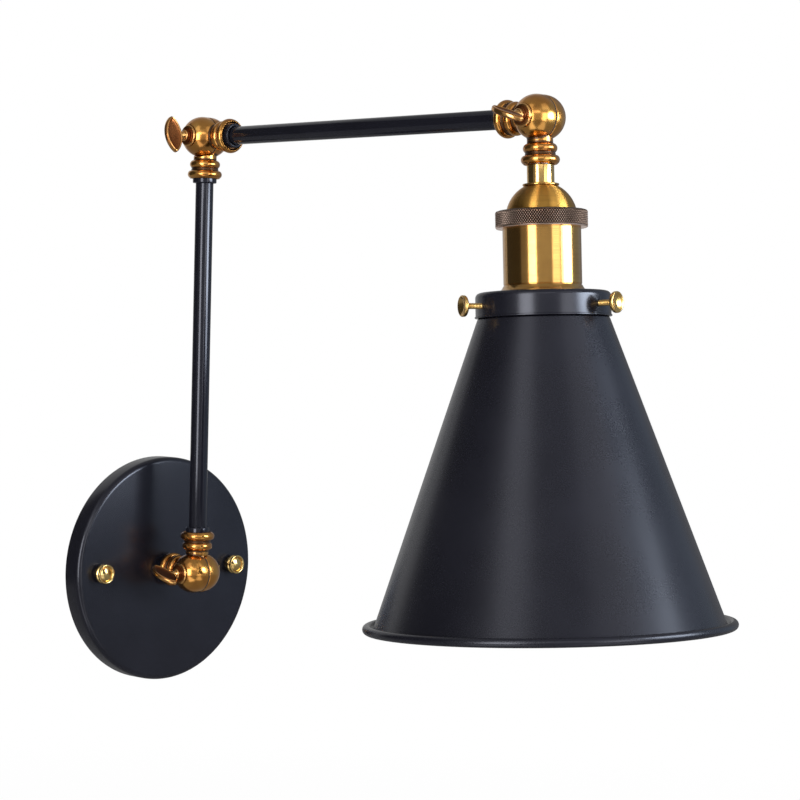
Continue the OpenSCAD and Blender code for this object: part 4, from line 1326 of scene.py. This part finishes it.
for slot, names in dressed.items():
    for node in names:
        dress(node, inner[slot])
outer = {"lamp_screw_shell": bright_head, "centre_contact": bright_head, "retaining_ring": bronze}
for node, finish in outer.items():
    dress(node, finish)
print("dressed", sum(len(names) for names in dressed.values()) + len(outer), "CAD parts")

# %% [markdown]
# ## Studio
# The lamp hangs over a plain white floor in front of a white background. A curved backdrop is the usual
# way to hide where the two meet, but its bend turns grey. Here the floor is flat, and with distance its
# own glow takes over from the light that falls on it. So it meets the white background without a line,
# and still keeps a faint shadow below the lamp. The glow and the full background are there only for the
# camera's rays and for mirrored ones. As light on dull surfaces they would drown the soft boxes.

# %% Lay the floor
floor_z = cad_box[0].z - 0.36
clear_selection()
bpy.ops.mesh.primitive_plane_add(size=16, location=(0, 0, floor_z))
floor = bpy.context.object
floor.name = "floor"
floor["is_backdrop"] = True
print("the floor lies", round((cad_box[0].z - floor_z) / mm), "mm below the lamp")


# %% Mix the floor's white
def seen_directly(finish):
    """1 for the camera's own rays and for rays that metal or glass sends on."""
    path = add_node(finish, "ShaderNodeLightPath")
    either = sums(finish, "MAXIMUM", path.outputs["Is Camera Ray"], path.outputs["Is Glossy Ray"])
    return sums(finish, "MAXIMUM", either, path.outputs["Is Transmission Ray"])


glow_starts, glow_full = 0.3, 1.8
near_glow = 0.93
floor_finish = new_finish("floor_white", Roughness=0.9)
floor_shader = shader_of(floor_finish)
floor_shader.inputs["Base Color"].default_value = (0.9, 0.9, 0.9, 1)
glow = add_node(floor_finish, "ShaderNodeEmission")
blend_in = add_node(floor_finish, "ShaderNodeMixShader")
away = add_node(floor_finish, "ShaderNodeVectorMath", operation="LENGTH")
wire(floor_finish, surface_point(floor_finish), away.inputs[0])
glowing = scaled(floor_finish, away.outputs["Value"], near_glow, 1.0, glow_starts, glow_full)
share = sums(floor_finish, "MULTIPLY", seen_directly(floor_finish), glowing)
wire(floor_finish, share, blend_in.inputs[0])
wire(floor_finish, floor_shader.outputs[0], blend_in.inputs[1])
wire(floor_finish, glow.outputs[0], blend_in.inputs[2])
floor_output = floor_finish.node_tree.nodes["Material Output"]
wire(floor_finish, blend_in.outputs[0], floor_output.inputs["Surface"])
floor.data.materials.append(floor_finish)
print("the floor's own glow is full from", glow_full, "m away")

# %% Light the background
world = bpy.data.worlds.new("studio")
bpy.context.scene.world = world
world.use_nodes = True
backdrop = world.node_tree.nodes["Background"]
backdrop.inputs["Color"].default_value = (1, 1, 1, 1)
fill_light = 0.35
wire(world, scaled(world, seen_directly(world), fill_light, 1.0), backdrop.inputs["Strength"])
print("the background's strength is 1, and", fill_light, "as light on dull surfaces")

# %% [markdown]
# ## Lights
# Polished brass and satin black show the lamps of a studio more than their own colours. A single large
# light would leave them flat, and point lights give only dots. So upright soft boxes stand on the
# camera's side, to the left, in the middle and to the right, with dimmer ones above, and each draws its
# own band down the tubes and the cone. A far light is mirrored at every height of a cone alike. Two
# small boxes close to the head are not, and they brighten the lower half of the cone.

# %% Aim at the head
target = head_point
camera_side = -49.6


def aimed(obj, azimuth, height, distance):
    """Stands an object round the lamp's head and turns it to the head. Azimuth 0 is at the camera."""
    angle = radians(camera_side + azimuth)
    obj.location = target + Vector((sin(angle) * distance, -cos(angle) * distance, height))
    inwards = Vector((target.x - obj.location.x, target.y - obj.location.y, 0))
    obj.rotation_euler = inwards.to_track_quat("-Z", "Y").to_euler()
    return obj


# %% Set up the soft boxes
def soft_light(name, azimuth, height, distance, width, tall, radiance, colour=(1, 1, 1)):
    """A rectangular soft box that is as bright all over as its radiance says."""
    light = bpy.data.objects.new(name, bpy.data.lights.new(name, "AREA"))
    light.data.shape = "RECTANGLE"
    light.data.size, light.data.size_y = width, tall
    light.data.energy = radiance * pi * width * tall
    light.data.color = colour
    bpy.context.scene.collection.objects.link(light)
    return aimed(light, azimuth, height, distance)


cool = (0.84, 0.92, 1.0)
boxes = [
    soft_light("left_light", -28, -0.05, 1.2, 0.48, 0.8, 6.2),
    soft_light("left_near_light", -29, 0.18, 0.5, 0.20, 0.16, 2.4),
    soft_light("left_upper_light", -36, 1.9, 1.2, 0.7, 2.4, 0.6),
    soft_light("front_upper_light", 5, 0.48, 1.2, 0.7, 0.26, 1.7),
    soft_light("middle_light", 42, -0.05, 1.2, 0.50, 0.8, 2.4),
    soft_light("middle_upper_light", 57, 1.9, 1.2, 1.0, 2.4, 0.4),
    soft_light("right_light", 80, 0.10, 1.0, 0.54, 0.5, 8.0, cool),
    soft_light("right_near_light", 76, 0.03, 0.5, 0.34, 0.16, 7.2, cool),
]
print(len(boxes), "soft boxes,", round(sum(box.data.energy for box in boxes), 1), "watts together")

# %% [markdown]
# ## Screens
# Between the lights, metal would mirror the white background, and brass would look pale and flat. A
# photographer puts up grey cards. Here curved screens stand all round the head, each with its own grey,
# with one screen over the lamp, one under it, and two bright strips on the floor. A screen glows a
# little, so it needs no light. The camera doesn't see it, and it throws no shadow.


# %% Grey screens
def dim(screen, level, colour=(1, 1, 1)):
    """Makes a screen evenly bright, and seen only in reflections."""
    finish = bpy.data.materials.new(screen.name)
    finish.use_nodes = True
    grey = add_node(finish, "ShaderNodeEmission")
    grey.inputs["Strength"].default_value = level
    grey.inputs["Color"].default_value = (*colour, 1)
    output = finish.node_tree.nodes["Material Output"]
    wire(finish, grey.outputs[0], output.inputs["Surface"])
    screen.data.materials.append(finish)
    screen.visible_camera = screen.visible_diffuse = screen.visible_shadow = False
    screen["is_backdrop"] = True
    return screen


# %% Curved screens
screen_distance, screen_foot, screen_top = 2.3, -0.9, 2.2


def curved_screen(name, start, end, level, colour=(1, 1, 1)):
    """A curved screen round the head, from one azimuth to another, as bright as its level says.

    The spin turns clockwise seen from above, so it starts at the screen's right end.
    """
    angle = radians(camera_side + end)
    clear_selection()
    bpy.ops.mesh.primitive_plane_add(size=1)
    screen = bpy.context.object
    screen.name = name
    bpy.ops.object.mode_set(mode="EDIT")
    bpy.ops.mesh.select_mode(type="VERT")
    bpy.ops.mesh.select_all(action="SELECT")
    bpy.ops.mesh.merge(type="CENTER")
    foot = Vector((sin(angle) * screen_distance, -cos(angle) * screen_distance, screen_foot))
    bpy.ops.transform.translate(value=target + foot)
    upwards = (0, 0, screen_top - screen_foot)
    bpy.ops.mesh.extrude_region_move(TRANSFORM_OT_translate={"value": upwards})
    bpy.ops.mesh.select_all(action="SELECT")
    bpy.ops.mesh.spin(steps=24, angle=radians(end - start), center=target, axis=(0, 0, 1))
    bpy.ops.object.mode_set(mode="OBJECT")
    return dim(screen, level, colour)


circle = [
    curved_screen("far_left_screen", -185, -125, 0.5),
    curved_screen("left_screen", -125, -64, 0.05),
    curved_screen("near_left_screen", -64, -27, 0.25),
    curved_screen("middle_screen", -27, 42, 0.45),
    curved_screen("near_right_screen", 42, 78, 0.5),
    curved_screen("right_screen", 78, 145, 0.36, (0.70, 0.84, 1.0)),
    curved_screen("far_right_screen", 145, 175, 0.2),
]
print(len(circle), "curved screens close the circle")


# %% Flat screens and strips
flat_screen_r, strip_middle = 2.4, 0.8


def flat_screen(name, height, level):
    """A round screen over or under the lamp."""
    clear_selection()
    bpy.ops.mesh.primitive_circle_add(
        vertices=64, radius=flat_screen_r, fill_type="NGON", location=(0, 0, height)
    )
    screen = bpy.context.object
    screen.name = name
    return dim(screen, level)


def floor_strip(name, azimuth, width, level):
    """A long bright strip on the floor, from the lamp towards one of the lights."""
    angle = radians(camera_side + azimuth)
    middle = target + Vector((sin(angle), -cos(angle), 0)) * strip_middle
    clear_selection()
    bpy.ops.mesh.primitive_plane_add(size=1, location=(middle.x, middle.y, floor_z + 0.02))
    strip = bpy.context.object
    strip.name = name
    strip.scale = (width, 1, 1)
    strip.rotation_euler = (0, 0, angle)
    return dim(strip, level)


floor_strip("left_strip", -28, 0.35, 1.3)
floor_strip("middle_strip", 43, 0.45, 0.9)
flat_screen("low_screen", floor_z + 0.01, 0.22)
flat_screen("high_screen", 2.3, 0.3)
print("screens over and under the lamp, and two strips on the floor")

# %% [markdown]
# ## Finish
# Whoever hangs the lamp in a room relies on the CAD model's size, so the dressed model must not grow
# past it. That could be judged by eye, but numbers are surer. The box round all parts is measured before
# and after. The last line prints how far a side has moved at most.

# %% Compare the boxes and finish
visual_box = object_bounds()
moves = [abs(a - b) / mm for cad, visual in zip(cad_box, visual_box) for a, b in zip(cad, visual)]
print("largest move of a side:", round(max(moves), 3), "mm")
